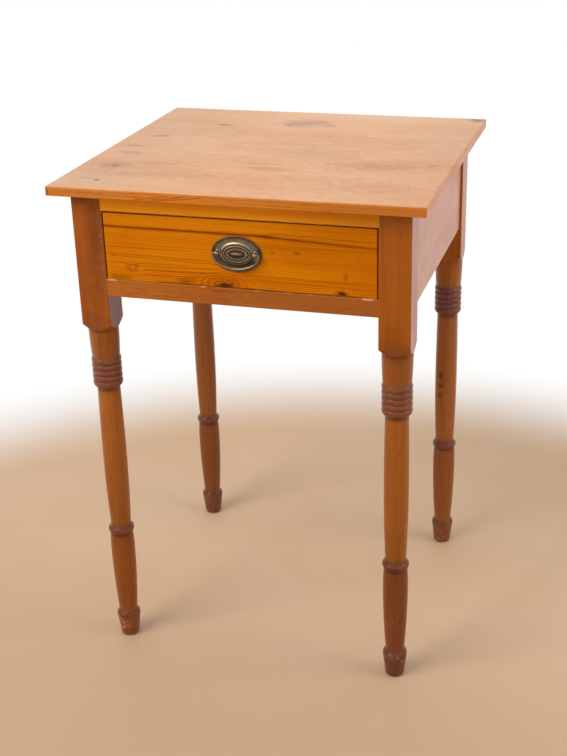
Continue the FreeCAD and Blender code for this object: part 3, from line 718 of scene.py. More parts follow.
    def material(self) -> bpy.types.Material:
        """Makes the material.

        Returns:
            The material, ready to put on a piece.
        """
        shop = NodeShop(bpy.data.materials.new(self.name))
        seed = self.seed * 3.1
        rings = self.rings(shop)
        fibre = shop.clouds(self.grain.scale(22.0, 900.0), seed, 3.0, 0.6)
        streak = shop.clouds(self.grain.scale(5.0, 130.0), seed, 3.0, 0.55)
        cloud = shop.clouds(self.grain.scale(5.0, 14.0), seed, 3.0)
        colour = shop.mix(rings * self.contrast, self.ground(shop, seed), self.late,
                          "MULTIPLY" if self.zones else "MIX")
        tints = [
            (shop.smooth(cloud, 0.45, 0.8) * self.patchiness, self.patchy),
            (shop.smooth(streak, 0.5, 0.85) * self.fibre, self.streak_tint),
            (shop.smooth(fibre, 0.5, 0.8) * self.fibre, self.fibre_tint),
        ]
        if self.ticks:
            tick = shop.clouds(self.grain.scale(60.0, 320.0), seed, 2.0, 0.6)
            tints.append((shop.smooth(tick, 0.5, 0.72) * self.ticks, self.tick_tint))
        for strength, tint in tints:
            colour = shop.mix(strength, colour, tint, "MULTIPLY")
        for line in self.lines:
            colour = shop.mix(self.drawn(shop, line), colour, line.paint)
        colour = self.handled(shop, self.marked(shop, colour, seed), seed)
        return shop.surface(
            Base_Color=colour,
            Roughness=shop.smooth(cloud + (fibre - 0.5) * 0.3, 0.3, 0.75, *self.rough),
            Normal=shop.bump(fibre * 0.4 + streak * 0.4 + rings * 0.5, self.relief),
            Coat_Weight=self.coat, Coat_Roughness=self.coat_rough, Coat_IOR=self.gloss,
            IOR=self.base_gloss, Specular_Tint=linear(self.sheen),
        )


@dataclass(frozen=True)
class BrassFinish:
    """Old lacquered brass: bright where hands rub it and, on the pull's ridge and bail, where a
    painted highlight lies; olive brown in the hollows.
    """

    name: str = "Antique_Brass"
    bright: Paint = (178, 156, 127)
    dull: Paint = (124, 106, 81)
    hollow: Paint = (70, 57, 43)
    specks: Paint = (60, 46, 26)
    least_relief: float = 0.0
    pitting: float = 0.06

    def material(self) -> bpy.types.Material:
        """Makes the material.

        Returns:
            The material, which takes the mesh's painted relief for height.
        """
        shop = NodeShop(bpy.data.materials.new(self.name))
        relief = shop.painted("relief") + self.least_relief
        patch = shop.clouds(160.0, 2.0, 4.0, 0.6)
        speck = shop.clouds(900.0, 5.0, 3.0, 0.6)
        high = shop.smooth(relief + (patch - 0.5) * 0.5, 0.45, 0.95)
        low = shop.smooth(relief + (patch - 0.5) * 0.3, 0.5, 0.1)
        colour = shop.mix(high, self.dull, self.bright)
        colour = shop.mix(low, colour, self.hollow)
        colour = shop.mix(shop.smooth(speck, 0.58, 0.75) * 0.5, colour, self.specks)
        rough = shop.smooth(patch, 0.3, 0.7, 0.26, 0.42) + low * 0.2
        return shop.surface(Base_Color=colour, Metallic=1.0, Roughness=rough,
                            Normal=shop.bump(patch * 0.6 + speck * 0.4, self.pitting))


@dataclass(frozen=True)
class IronFinish:
    """Dark iron of hand-driven screws and cut nails, with a little rust."""

    name: str = "Iron"
    bare: Paint = (78, 74, 70)
    rust: Paint = (96, 58, 38)
    pitting: float = 0.1

    def material(self) -> bpy.types.Material:
        """Makes the material.

        Returns:
            The material, ready to put on a piece.
        """
        shop = NodeShop(bpy.data.materials.new(self.name))
        patch = shop.clouds(260.0, 1.0, 5.0, 0.65)
        rusty = shop.smooth(patch, 0.45, 0.65)
        return shop.surface(Base_Color=shop.mix(rusty, self.bare, self.rust),
                            Metallic=shop.smooth(rusty, 0.0, 1.0, 0.9, 0.2),
                            Roughness=shop.smooth(patch, 0.3, 0.7, 0.4, 0.75),
                            Normal=shop.bump(patch, self.pitting))


@dataclass(frozen=True)
class FloorFinish:
    """A plain pale floor, painted darker towards the front as painted shade, that fades into the
    white room round it, with lengths in metres.
    """

    name: str = "Floor"
    near: Paint = (211, 176, 140)
    front: Paint = (197, 163, 130)
    pale: Paint = (224, 200, 172)
    centre: tuple[float, float] = (0.12, -0.38)
    fade: tuple[float, float] = (0.95, 1.35)
    rough: float = 0.6

    def material(self) -> bpy.types.Material:
        """Makes the material.

        Returns:
            The material.
        """
        shop = NodeShop(bpy.data.materials.new(self.name))
        where = shop.place((1.0, 1.0, 0.0), (-self.centre[0], -self.centre[1], 0.0))
        reach = shop.node("VectorMath", {"operation": "LENGTH"}, {0: where}, output="Value")
        away = shop.smooth(reach, *self.fade)
        tone = shop.clouds(3.0, detail=3.0)
        colour = shop.mix(shop.smooth(tone, 0.3, 0.7) * 0.25, self.near, self.pale)
        # Darker towards the front: painted shade.
        depth = shop.axes()[1]
        colour = shop.mix(shop.smooth(depth, 0.1, -0.5), colour, self.front)
        ground = shop.node("BsdfPrincipled", None, {"Base Color": colour, "Roughness": self.rough})
        white = shop.node("Emission", None, {"Color": WHITE, "Strength": 1.0})
        faded = away * shop.rays("Camera", "Glossy")
        both = shop.node("MixShader", None, {0: faded, 1: ground, 2: white})
        shop.node("OutputMaterial", None, {"Surface": both})
        return shop.owner


# ---------------------------------------------------------------------------
# The stand
# ---------------------------------------------------------------------------


class Side(Enum):
    """Left or right of the stand, as its user faces it."""

    LEFT = -1
    RIGHT = 1


class End(Enum):
    """Front or back of the stand."""

    FRONT = -1
    BACK = 1


def dress(material: bpy.types.Material, *pieces: Union[bpy.types.Object, str]) -> None:
    """Gives pieces a material in every slot.

    Args:
        material: the material.
        *pieces: new pieces, or construction nodes by name.
    """
    for piece in pieces:
        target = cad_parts[piece] if isinstance(piece, str) else piece
        if not target.material_slots:
            target.data.materials.append(material)
        for slot in target.material_slots:
            slot.link = "OBJECT"
            slot.material = material


@dataclass
class TabletopBoard:
    """The thin top, one pine board with its grain from side to side."""

    half_width: float = 254.0
    half_depth: float = 243.0
    under: float = 711.3
    upper: float = 724.0
    mid_edge: float = 717.0
    arris: float = 1.1

    def finish(self) -> WoodFinish:
        """Sets out the top's own finish, its upper face painted pale as a painted reflection, and
        marked by use.

        Returns:
            The finish: marks on its face, then on its edges, and grain lines on its front edge.
        """
        z, front, mid = self.upper, -self.half_depth, self.mid_edge
        smoke, dark, rust, tan = (192, 134, 84), (86, 40, 3), (196, 124, 70), (194, 134, 66)
        swirl = (160, 80, 3)
        return WoodFinish(
            # The face that looks up is painted paler than the edges: a painted reflection of the
            # bright room.
            "Pine_Top", Grain.X, early=(227, 166, 108), late=(204, 138, 86), ring=6.5,
            pith=(10.0, 640.0), wander=9.0, contrast=0.45, fibre=0.26, ticks=0.45,
            patchy=(226, 198, 176), patchiness=0.35, worn=(208, 130, 62), wear=0.7,
            rough=(0.36, 0.52), seed=1.3, edges=(210, 121, 2), under=(176, 128, 82),
            marks=(
                # Paler towards the back: a painted reflection.
                Mark((60, 225, z), (250, 80, 9), (238, 186, 136), 0.55, 0.9, 0.4),
                Mark((-150, -200, z), (110, 20, 9), (230, 176, 126), 0.6, 0.9, 0.8),
                Mark((-262, 80, z), (110, 240, 9), (203, 148, 98), 0.68, 0.9, 0.8),
                Mark((-205, -165, z), (76, 62, 9), (198, 147, 98), 0.7, 0.9, 0.8),
                Mark((250, 50, z), (62, 260, 9), (206, 146, 104), 0.55, 0.9, 0.8),
                Mark((-14, 167, z), (38, 24, 9), smoke, 0.7, 0.6, 1.0, swirl=14.0),
                Mark((-22, 158, z), (20, 12, 9), (156, 108, 70), 0.5, 0.6, 1.4),
                Mark((4, 178, z), (16, 10, 9), (168, 116, 84), 0.45, 0.6, 1.4),
                Mark((-32, 146, z), (4, 4, 9), dark, 0.45, 0.6, 0.8),
                Mark((30, 157, z), (9, 6, 9), (150, 90, 50), 0.6, 0.6, 1.6),
                Mark((-134, 136, z), (9, 5, 9), (144, 80, 28), 0.6, 0.6, 1.6),
                Mark((-207, 53, z), (13, 6, 9), (164, 98, 34), 0.7, 0.6, 1.4),
                Mark((-220, -12, z), (15, 6, 9), (178, 110, 50), 0.7, 0.7, 1.6),
                Mark((-210, -52, z), (17, 7, 9), (178, 110, 50), 0.7, 0.7, 1.6),
                Mark((-94, 75, z), (10, 26, 9), tan, 0.3, 0.9, 1.2),
                Mark((-80, 6, z), (15, 20, 9), tan, 0.5, 0.9, 1.0),
                Mark((40, -14, z), (62, 22, 9), tan, 0.5, 0.9, 1.2),
                Mark((-7, -78, z), (32, 5, 9), (190, 128, 52), 0.75, 0.5, 0.9),
                Mark((9, -104, z), (36, 10, 9), (190, 128, 52), 0.75, 0.6, 1.4),
                Mark((-146, -101, z), (34, 5, 9), rust, 0.55, 0.7, 1.4),
                Mark((-206, -121, z), (21, 14, 9), (178, 112, 54), 0.75, 0.6, 1.8),
                Mark((-204, -124, z), (5, 4, 9), dark, 0.5, 0.5, 1.0),
                Mark((148, -68, z), (54, 20, 9), (186, 116, 62), 0.7, 0.9, 1.8),
                Mark((226, -46, z), (7, 4, 9), (170, 92, 56), 0.5, 0.7, 1.2),
                Mark((-199, -199, z), (5, 4, 9), dark, 0.8, 0.4, 0.6),
                Mark((-217, -192, z), (14, 5, 9), (184, 128, 92), 0.6, 0.7, 1.2),
                Mark((176, -162, z), (54, 20, 9), (182, 110, 66), 0.42, 0.8, 3.0),
                Mark((-120, -156, z), (90, 12, 9), (186, 116, 66), 0.5, 0.9, 2.8),
                Mark((80, -192, z), (80, 12, 9), rust, 0.22, 0.9, 2.8),
                Mark((243, 234, z), (12, 13, 20), (92, 66, 54), 0.7, 0.5, 0.6),
                Mark((-245, front, mid), (50, 4, 9), (192, 108, 8), 0.6, 0.9, 0.8),
                Mark((-255, front, mid), (5.5, 5, 10), (132, 70, 22), 0.85, 0.4, 0.3),
                Mark((215, front, mid), (100, 4, 10), (184, 102, 8), 0.65, 0.6, 0.5),
                Mark((self.half_width, 10, mid), (4, 250, 9), (184, 108, 24), 0.8, 0.4, 0.6),
            ),
            lines=(
                GrainAndShadeLine(716.5, -0.005, 0.0, 0.8, (-250, -120), swirl, 0.8, 3.0),
                GrainAndShadeLine(722.4, 0.012, 0.0, 0.7, (-230, -90), swirl, 0.7, 2.0),
                GrainAndShadeLine(733.0, 0.16, 0.0, 0.9, (-138, -74), swirl, 0.9, 1.2),
                GrainAndShadeLine(730.0, 0.16, 0.0, 1.0, (-120, -50), swirl, 0.9, 1.2),
                GrainAndShadeLine(725.5, 0.13, 0.0, 0.9, (-108, -28), swirl, 0.9, 1.2),
                GrainAndShadeLine(720.6, -0.008, 0.0, 0.7, (-40, 130), swirl, 0.45, 2.5),
                GrainAndShadeLine(716.0, -0.012, 0.0, 0.7, (-10, 170), swirl, 0.45, 2.5),
                GrainAndShadeLine(722.4, -0.02, 0.0, 0.8, (90, 250), swirl, 0.55, 2.0),
                GrainAndShadeLine(714.0, 0.006, 0.0, 0.6, (100, 250), swirl, 0.6, 2.5),
            ),
        )

    def build(self) -> list[bpy.types.Object]:
        """Builds and dresses the board.

        Returns:
            The one new piece.
        """
        skin = Skin()
        Board((-self.half_width, -self.half_depth, self.under),
              (self.half_width, self.half_depth, self.upper), self.arris).add_to(skin)
        piece = skin.finish("Tabletop", "frame", "pine_top", "top_board")
        dress(self.finish().material(), piece)
        return [piece]


# How the colour of each leg departs from the common one, from the foot up to each of TONE_TOPS,
# at the vase, the low shaft, the high shaft and reeds, the neck, and last at the head. It is partly
# each leg's own stain, partly painted shade that darkens the back left leg, and partly painted
# light that brightens the back right leg.
TONE_TOPS = (198, 300, 470, 510)
LEG_TONES_LIGHT_AND_SHADE: dict[tuple[End, Side], tuple[Triple, ...]] = {
    (End.FRONT, Side.LEFT): (
        (1.07, 1.1, 1.08), (0.94, 1.0, 1.14), (1.05, 1.15, 1.33), (1.03, 1.12, 1.22),
        (1.02, 1.03, 0.87),
    ),
    (End.FRONT, Side.RIGHT): (
        (0.97, 1.03, 1.0), (0.96, 1.05, 1.12), (1.02, 1.09, 1.12), (0.98, 1.06, 1.2),
        (1.03, 1.1, 0.97),
    ),
    (End.BACK, Side.LEFT): (
        (0.94, 1.02, 1.15), (0.88, 0.99, 1.55), (0.83, 0.94, 1.52), (0.89, 0.98, 1.5),
        (0.89, 0.98, 1.25),
    ),
    (End.BACK, Side.RIGHT): (
        (1.04, 1.14, 1.28), (0.96, 1.07, 1.6), (0.96, 1.07, 1.6), (1.06, 1.2, 1.65),
        (1.07, 1.2, 1.45),
    ),
}


@dataclass
class TurnedLeg:
    """One leg: square head, reeded neck, long swelling shaft, ring, vase and tapered foot.

    Below holds the turning's heights and radii where hollows and swellings change over, up to the
    reeds, and each is joined to the next by an arc of a circle, apart from the straight taper of
    the foot. Off_corner holds how far from a corner of the head, in degrees, its points lie.
    """

    side: Side
    end: End
    axis_x: float = 210.0
    axis_y: float = 195.0
    height: float = 711.3
    half_head: float = 21.5
    head_arris: float = 0.9
    shoulder: float = 512.8
    shoulder_radius: float = 21.3
    straight: tuple[float, float] = (5.0, 37.0)
    below: tuple[tuple[float, float], ...] = (
        (0.0, 11.0), (5.0, 14.0), (37.0, 17.7), (43.0, 13.3), (152.0, 17.9), (182.5, 16.7),
        (188.0, 19.1), (193.5, 14.7), (307.75, 17.4), (422.0, 16.2), (429.3, 21.2),
    )
    reeds: int = 5
    reed_start: float = 433.6
    reed_pitch: float = 8.6
    reed_depth: float = 1.6
    reed_radius: float = 21.2
    off_corner: tuple[float, ...] = (
        0.0, 0.6, 1.25, 2.3, 5.0, 9.0, 14.0, 19.0, 24.0, 29.0, 34.0, 39.5,
    )
    step_limits: tuple[float, float] = (0.55, 5.0)
    arc_detail: float = 10.0
    tight_rise: float = 12.0
    tight_change: float = 1.4
    proud_radius: float = 17.0
    dent: float = 0.5
    dent_floor: float = 0.35
    dent_wave: float = 0.07
    dent_spread: float = 20.0
    proud_wear: float = 0.5
    hollow_grime_and_shade: float = 0.6
    shoulder_grime_and_shade: float = 0.35
    grime_and_shade_rise: float = 0.7
    cut_step: float = 0.4
    cut_steps: int = 26
    cut_blend: float = 0.5
    cut_edge: float = 0.6
    cut_rise: float = 1.0
    head_start: float = 18.0
    head_step: float = 7.0
    corner_reach: float = 29.0

    @property
    def centre(self) -> tuple[float, float]:
        """Returns where the leg's axis stands."""
        return self.axis_x * self.side.value, self.axis_y * self.end.value

    def stations(self) -> list[tuple[float, float]]:
        """Lists the whole turned profile, with the reeds.

        Returns:
            Its heights and radii, from the foot to the shoulder.
        """
        out = list(self.below)
        for k in range(self.reeds):
            valley = self.reed_start + k * self.reed_pitch
            out.append((valley, self.reed_radius - self.reed_depth))
            if k < self.reeds - 1:
                out.append((valley + self.reed_pitch / 2, self.reed_radius))
        return out + [(self.shoulder, self.shoulder_radius)]

    def profile(self) -> list[tuple[float, float, float, float]]:
        """Works the profile out in fine steps.

        Returns:
            Height, radius, wear, and dirt with painted shade, of each step, up to the shoulder.
        """
        steps = []
        stations = self.stations()
        for (low, r_low), (high, r_high) in zip(stations, stations[1:]):
            rise, change = high - low, abs(r_high - r_low)
            # The arc is upright at its wider end, and sweep is its radius.
            sweep = (rise * rise + change * change) / (2 * change)
            finest, coarsest = self.step_limits
            count = math.ceil(rise / min(coarsest, max(finest, sweep / self.arc_detail)))
            widest, wide = low if r_low > r_high else high, max(r_low, r_high)
            for k in range(count):
                z = low + rise * k / count
                if (low, high) == self.straight:
                    radius = r_low + (r_high - r_low) * k / count
                else:
                    radius = wide - sweep + math.sqrt(sweep * sweep - (z - widest) ** 2)
                tight = rise < self.tight_rise and change > self.tight_change
                depth = (wide - radius) / max(change, 0.1) if tight else 0.0
                proud = 1 - depth if tight and wide > self.proud_radius else 0.0
                # Tight hollows darken towards their deepest point: dirt and painted shade.
                grime = depth * depth * self.hollow_grime_and_shade
                steps.append((z, radius, proud * self.proud_wear, grime))
        return steps

    def square(self, angle: float) -> float:
        """Measures the square head with its softened arrises.

        Args:
            angle: a direction from its axis, in radians.

        Returns:
            How far it reaches that way.
        """
        off = abs((angle + math.pi / 4) % (math.pi / 2) - math.pi / 4)
        centre = self.half_head - self.head_arris
        if self.half_head * math.tan(off) <= centre:
            return self.half_head / math.cos(off)
        turn = off - math.pi / 4
        root = self.head_arris ** 2 - 2 * (centre * math.sin(turn)) ** 2
        return centre * math.sqrt(2) * math.cos(turn) + math.sqrt(max(0.0, root))

    def angles(self) -> list[float]:
        """Lists the directions of the points in a ring, close together at the corners.

        Returns:
            The directions, in radians.
        """
        out = []
        for corner in range(4):
            base = 45.0 + 90 * corner
            out += [base + d for d in self.off_corner] + [base + 45.0]
            out += [base + 90 - d for d in reversed(self.off_corner[1:])]
        return [math.radians(a) for a in out]

    def turning(self, skin: Skin) -> list[list[int]]:
        """Adds the turned part's points, with a few shallow dents.

        Args:
            skin: what they are added to.

        Returns:
            Rings of point numbers, from the foot up.
        """
        rings, angles, spread = [], self.angles(), self.dent_spread
        x, y = self.centre
        for z, radius, wear, grime in self.profile():
            ring = []
            for angle in angles:
                way = Vector((math.cos(angle), math.sin(angle), 0.0))
                spot = Vector((x + way.x * spread, y + way.y * spread, z)) * self.dent_wave
                dented = self.dent * max(0.0, noise.noise(spot) - self.dent_floor)
                at = Vector((x, y, z)) + way * (radius - dented)
                ring.append(skin.point(at, wear=wear, grime=grime))
            rings.append(ring)
        return rings

    def head(self, skin: Skin) -> list[list[int]]:
        """Adds the square head's points, with its corners cut by a cone above the shoulder.

        Args:
            skin: what they are added to.

        Returns:
            Rings of point numbers, from the shoulder up.
        """
        rings, angles = [], self.angles()
        x, y = self.centre
        heights = [self.shoulder + self.cut_step * k for k in range(self.cut_steps)]
        above = self.shoulder + self.head_start
        count = math.ceil((self.height - 1 - above) / self.head_step)
        heights += [above + self.head_step * k for k in range(count)]
        for z in heights + [self.height]:
            cone = self.shoulder_radius + z - self.shoulder
            ring = []
            for angle in angles:
                square = self.square(angle)
                blend = max(0.0, self.cut_blend - abs(square - cone)) ** 2 / (4 * self.cut_blend)
                reach = min(square, cone) - blend
                corner = square > self.corner_reach and cone > square
                edge = abs(square - cone) < self.cut_edge and z > self.shoulder + self.cut_rise
                # Just above the shoulder the head is darkened along the cusp: dirt and painted
                # shade.
                grime = self.shoulder_grime_and_shade if z < self.shoulder + self.grime_and_shade_rise else 0.0
                at = (x + math.cos(angle) * reach, y + math.sin(angle) * reach, z)
                ring.append(skin.point(at, wear=1.0 if corner else 0.5 * edge, grime=grime))
            rings.append(ring)
        return rings

    def build(self) -> list[bpy.types.Object]:
        """Builds and dresses the leg.

        Returns:
            The one new piece.
        """
        skin = Skin()
        skin.loft(self.turning(skin) + self.head(skin))
        end, side = self.end.name.lower(), self.side.name.lower()
        name = f"{end.title()}_{side.title()}_Leg"
        piece = skin.finish(name, "frame", "leg_wood", f"{end}_{side}_leg")
        dress(self.finish().material(), piece)
        return [piece]

    def zones(self) -> tuple[tuple[float, Paint], ...]:
        """Sets out the stain, darkest at the reeds, the ring and the foot.

        Returns:
            Heights and the paint at each, in this leg's own tones, with painted shade on the back
            left leg and painted light on the back right leg.
        """
        head, neck, reed, shaft = (160, 79, 9), (150, 77, 24), (119, 64, 42), (161, 85, 27)
        ring, vase, foot = (106, 55, 36), (135, 70, 29), (120, 65, 38)
        quirk, throat = (84, 42, 26), (130, 70, 26)
        out = []
        for height, paint in (
            (0.0, foot), (36.0, foot), (41.0, quirk), (47.0, vase), (175.0, vase), (181.0, ring),
            (195.0, ring), (200.0, shaft), (412.0, shaft), (420.0, throat), (424.0, reed),
            (468.0, reed), (473.0, neck), (508.0, neck), (522.0, head),
        ):
            # The tones carry painted shade on the back left leg and painted light on the back right
            # leg.
            tone = LEG_TONES_LIGHT_AND_SHADE[self.end, self.side][sum(height > top for top in TONE_TOPS)]
            out.append((height, (paint[0] * tone[0], paint[1] * tone[1], paint[2] * tone[2])))
        return tuple(out)

    def marks(self) -> tuple[Mark, ...]:
        """Sets out this leg's streaks, stains, knots and scuffs, and on the front left leg's head
        painted light and a painted shadow under the top.

        Returns:
            The marks, in the order in which they lie over each other.
        """
        x, y = self.centre
        front = y - self.half_head
        pale, dark, bare = (200, 150, 108), (62, 28, 10), (206, 122, 60)
        marks = [Mark((x, y, 250), (40, 40, 240), (84, 40, 14), 0.6, 0.4, 0.4, specks=0.63)]
        if self.end is End.FRONT and self.side is Side.LEFT:
            marks += [
                Mark((x, front, 610), (24, 9, 90), (120, 60, 10), 0.35, 0.9, 2.6),
                Mark((x + self.half_head, y, 545), (3, 26, 60), (112, 54, 24), 0.8, 0.5, 0.5),
                Mark((x + 19.5, front, 640), (2.6, 6, 76), (122, 84, 30), 0.55, 0.6, 0.5),
                Mark((x + 17, front, 640), (3, 6, 70), (176, 112, 60), 0.6, 0.5, 0.8, specks=0.54),
                Mark((x + 9, front, 655), (8, 6, 64), (100, 48, 12), 0.5, 0.9, 0.7),
                # A lighter strip at the top left of the head: painted light.
                Mark((x - 15, front, 684), (11, 6, 56), (178, 95, 22), 0.42, 0.9, 0.6),
                Mark((x, front, 524), (30, 8, 15), (124, 62, 28), 0.5, 0.9, 0.6),
                # A dark smudge at the top left of the head, under the top: dirt and a painted
                # shadow.
                Mark((x - 12, front, 704), (10, 6, 9), dark, 0.55, 0.7, 0.8),
                Mark((x - 6, y - 14, 22), (12, 10, 10), bare, 0.85, 0.3, 1.0, specks=0.53),
            ]
        elif self.end is End.FRONT:
            marks += [
                Mark((x + 6, front, 676), (0.8, 5, 32), dark, 0.25, 0.5, 0.4),
                Mark((x - 2, front, 545), (18, 5, 14), (120, 60, 10), 0.35, 0.9, 1.5),
                Mark((x, front, 518), (30, 8, 15), (112, 54, 26), 0.7, 0.9, 0.6),
                Mark((x - 2, y - 17, 36), (12, 8, 3.4), (176, 124, 102), 0.35, 0.6, 1.4),
                Mark((x + 4, y - 14, 95), (14, 9, 55), pale, 0.65, 0.5, 0.8, specks=0.63),
                Mark((x, y, 95), (30, 30, 100), (106, 52, 30), 0.45, 0.5, 0.8),
                Mark((x, y, 15), (30, 30, 34), (92, 50, 35), 0.6, 0.5, 0.8),
            ]
        elif self.side is Side.RIGHT:
            marks += [
                Mark((x - 6, y - 18, 316), (4, 8, 7), dark, 0.6, 0.5, 1.0),
                Mark((x - 6, y - 18, 298), (3, 8, 5), dark, 0.6, 0.5, 1.0),
                Mark((x - 7, y - 18, 282), (3, 8, 5), dark, 0.6, 0.5, 1.0),
            ]
        marks.append(Mark((x + 2, y - 14, 22), (18, 12, 18), pale, 0.65, 0.3, 0.6, specks=0.63))
        return tuple(marks)

    def finish(self) -> WoodFinish:
        """Sets out this leg's finish, turned from its own part of the log.

        Returns:
            The finish.
        """
        number = (self.side.value + 3) + 2 * (self.end.value + 1)
        x, y = self.centre
        zones = self.zones()
        return WoodFinish(
            f"Leg_Wood_{number}", Grain.Z, early=zones[-1][1], late=(206, 190, 176), ring=5.5,
            pith=(x + 66 - 13 * number, y + 72), wander=4.5, contrast=0.35, fibre=0.42,
            patchy=(188, 160, 140), patchiness=0.6, worn=(160, 92, 50), wear=0.45,
            dirt_and_shade=(66, 32, 20), rough=(0.28, 0.42), gloss=1.3, sheen=(255, 214, 160),
            seed=3.7 * number, zones=zones, marks=self.marks(),
        )


@dataclass
class FrameJoinery:
    """The aprons round the sides and back, and the two rails across the front."""

    half_width: float = 188.5
    half_depth: float = 173.5
    into_leg: float = 2.0
    top: float = 711.3
    apron_low: float = 570.3
    side_faces: tuple[float, float] = (209.5, 228.5)
    back_faces: tuple[float, float] = (194.5, 213.5)
    rail_faces: tuple[float, float] = (-216.5, -178.5)
    upper_rail: tuple[float, float] = (686.3, 711.3)
    lower_rail: tuple[float, float] = (566.3, 591.3)
    rail_arris: float = 0.9

    def apron_finish(self, grain: Grain, number: int) -> WoodFinish:
        """Sets out the finish of one apron.

        Args:
            grain: the way that it runs.
            number: what tells it from the other aprons.

        Returns:
            The finish, with a paler patch on the right-hand apron's outer face.
        """
        pith = (300.0, 500.0) if grain is Grain.Y else (150.0, 470.0)
        return WoodFinish(
            f"Apron_Wood_{number}", grain, early=(183, 103, 37), late=(152, 80, 27), ring=6.0,
            pith=pith, wander=8.0, contrast=0.45, patchy=(184, 150, 130), patchiness=0.5,
            rough=(0.3, 0.45), coat=0.45, seed=9.0 + number,
            marks=(
                Mark((self.side_faces[1], 75, 650), (9, 120, 90), (198, 115, 43), 0.5, 0.9, 0.6),
            ),
        )

    def upper_finish(self) -> WoodFinish:
        """Sets out the upper rail's finish, the same pine as the drawer front, painted brighter as
        painted light against the shade under the top.

        Returns:
            The finish, with a painted shade line along the lower arris, over the gap above the
            drawer.
        """
        face = self.rail_faces[0]
        return WoodFinish(
            # The early paint is brighter than the drawer front's: painted light against the shade
            # under the top's overhang.
            "Upper_Rail_Pine", Grain.X, early=(250, 160, 29), late=(200, 106, 18), ring=3.4,
            pith=(-190.0, 560.0), wander=4.0, contrast=0.6, patchy=(206, 156, 96), patchiness=0.4,
            rough=(0.3, 0.45), coat=0.1, gloss=1.25, sheen=(255, 170, 60), seed=4.4,
            marks=(Mark((170, face, 698), (70, 9, 30), (206, 128, 30), 0.6, 0.9, 0.8),),
            # A dark line along the lower arris: painted shade over the gap above the drawer.
            lines=(GrainAndShadeLine(686.5, 0.0, 0.0, 1.1, (-195, 195), (70, 30, 6), 0.8, 0.4),),
        )

    def lower_finish(self) -> WoodFinish:
        """Sets out the lower rail's finish, browner wood with bare spots along its upper arris.

        Returns:
            The finish.
        """
        pale, dusty = (214, 172, 128), (176, 142, 104)
        face, edge = self.rail_faces[0], (-214.0, 590.5)
        return WoodFinish(
            "Lower_Rail_Wood", Grain.X, early=(178, 102, 32), late=(136, 70, 19), ring=4.6,
            pith=(-120.0, 470.0), wander=5.0, contrast=0.45, ticks=0.5, patchy=(190, 140, 110),
            patchiness=0.5, rough=(0.3, 0.45), coat=0.25, gloss=1.3, sheen=(255, 214, 160),
            wear=0.12, seed=6.1,
            marks=(
                Mark((110, face, 578), (110, 9, 22), (150, 82, 32), 0.6, 0.9, 0.6),
                Mark((174, *edge), (9, 4, 2.2), pale, 0.85, 0.3, 0.8),
                Mark((-181, *edge), (7, 4, 2.0), pale, 0.8, 0.3, 0.8),
                Mark((-48, *edge), (5, 4, 1.2), pale, 0.6, 0.3, 0.8),
                *(Mark((x, *edge), (5, 4, 1.0), dusty, 0.5, 0.4, 0.9) for x in (27, 70, 100, 140)),
            ),
        )

    def build(self) -> list[bpy.types.Object]:
        """Builds and dresses the aprons and rails.

        Returns:
            The five new pieces.
        """
        pieces = []
        near, far = self.side_faces
        reach = self.half_depth + self.into_leg
        for number, side in enumerate(Side):
            faces = sorted((near * side.value, far * side.value))
            skin = Skin()
            Board((faces[0], -reach, self.apron_low), (faces[1], reach, self.top)).add_to(skin)
            word = side.name.lower()
            name, node = f"{word.title()}_Apron", f"{word}_side_apron"
            pieces.append(skin.finish(name, "frame", "apron_wood", node))
            dress(self.apron_finish(Grain.Y, number).material(), pieces[-1])
        reach = self.half_width + self.into_leg
        skin = Skin()
        near, far = self.back_faces
        Board((-reach, near, self.apron_low), (reach, far, self.top)).add_to(skin)
        pieces.append(skin.finish("Back_Apron", "frame", "apron_wood", "back_apron"))
        dress(self.apron_finish(Grain.X, 2).material(), pieces[-1])
        near, far = self.rail_faces
        for name, (low, high), slot, finish in (
            ("Upper_Front_Rail", self.upper_rail, "front_pine", self.upper_finish()),
            ("Lower_Front_Rail", self.lower_rail, "rail_wood", self.lower_finish()),
        ):
            skin = Skin()
            Board((-reach, near, low), (reach, far, high), self.rail_arris).add_to(skin)
            pieces.append(skin.finish(name, "frame", slot, name.lower()))
            dress(finish.material(), pieces[-1])
        return pieces


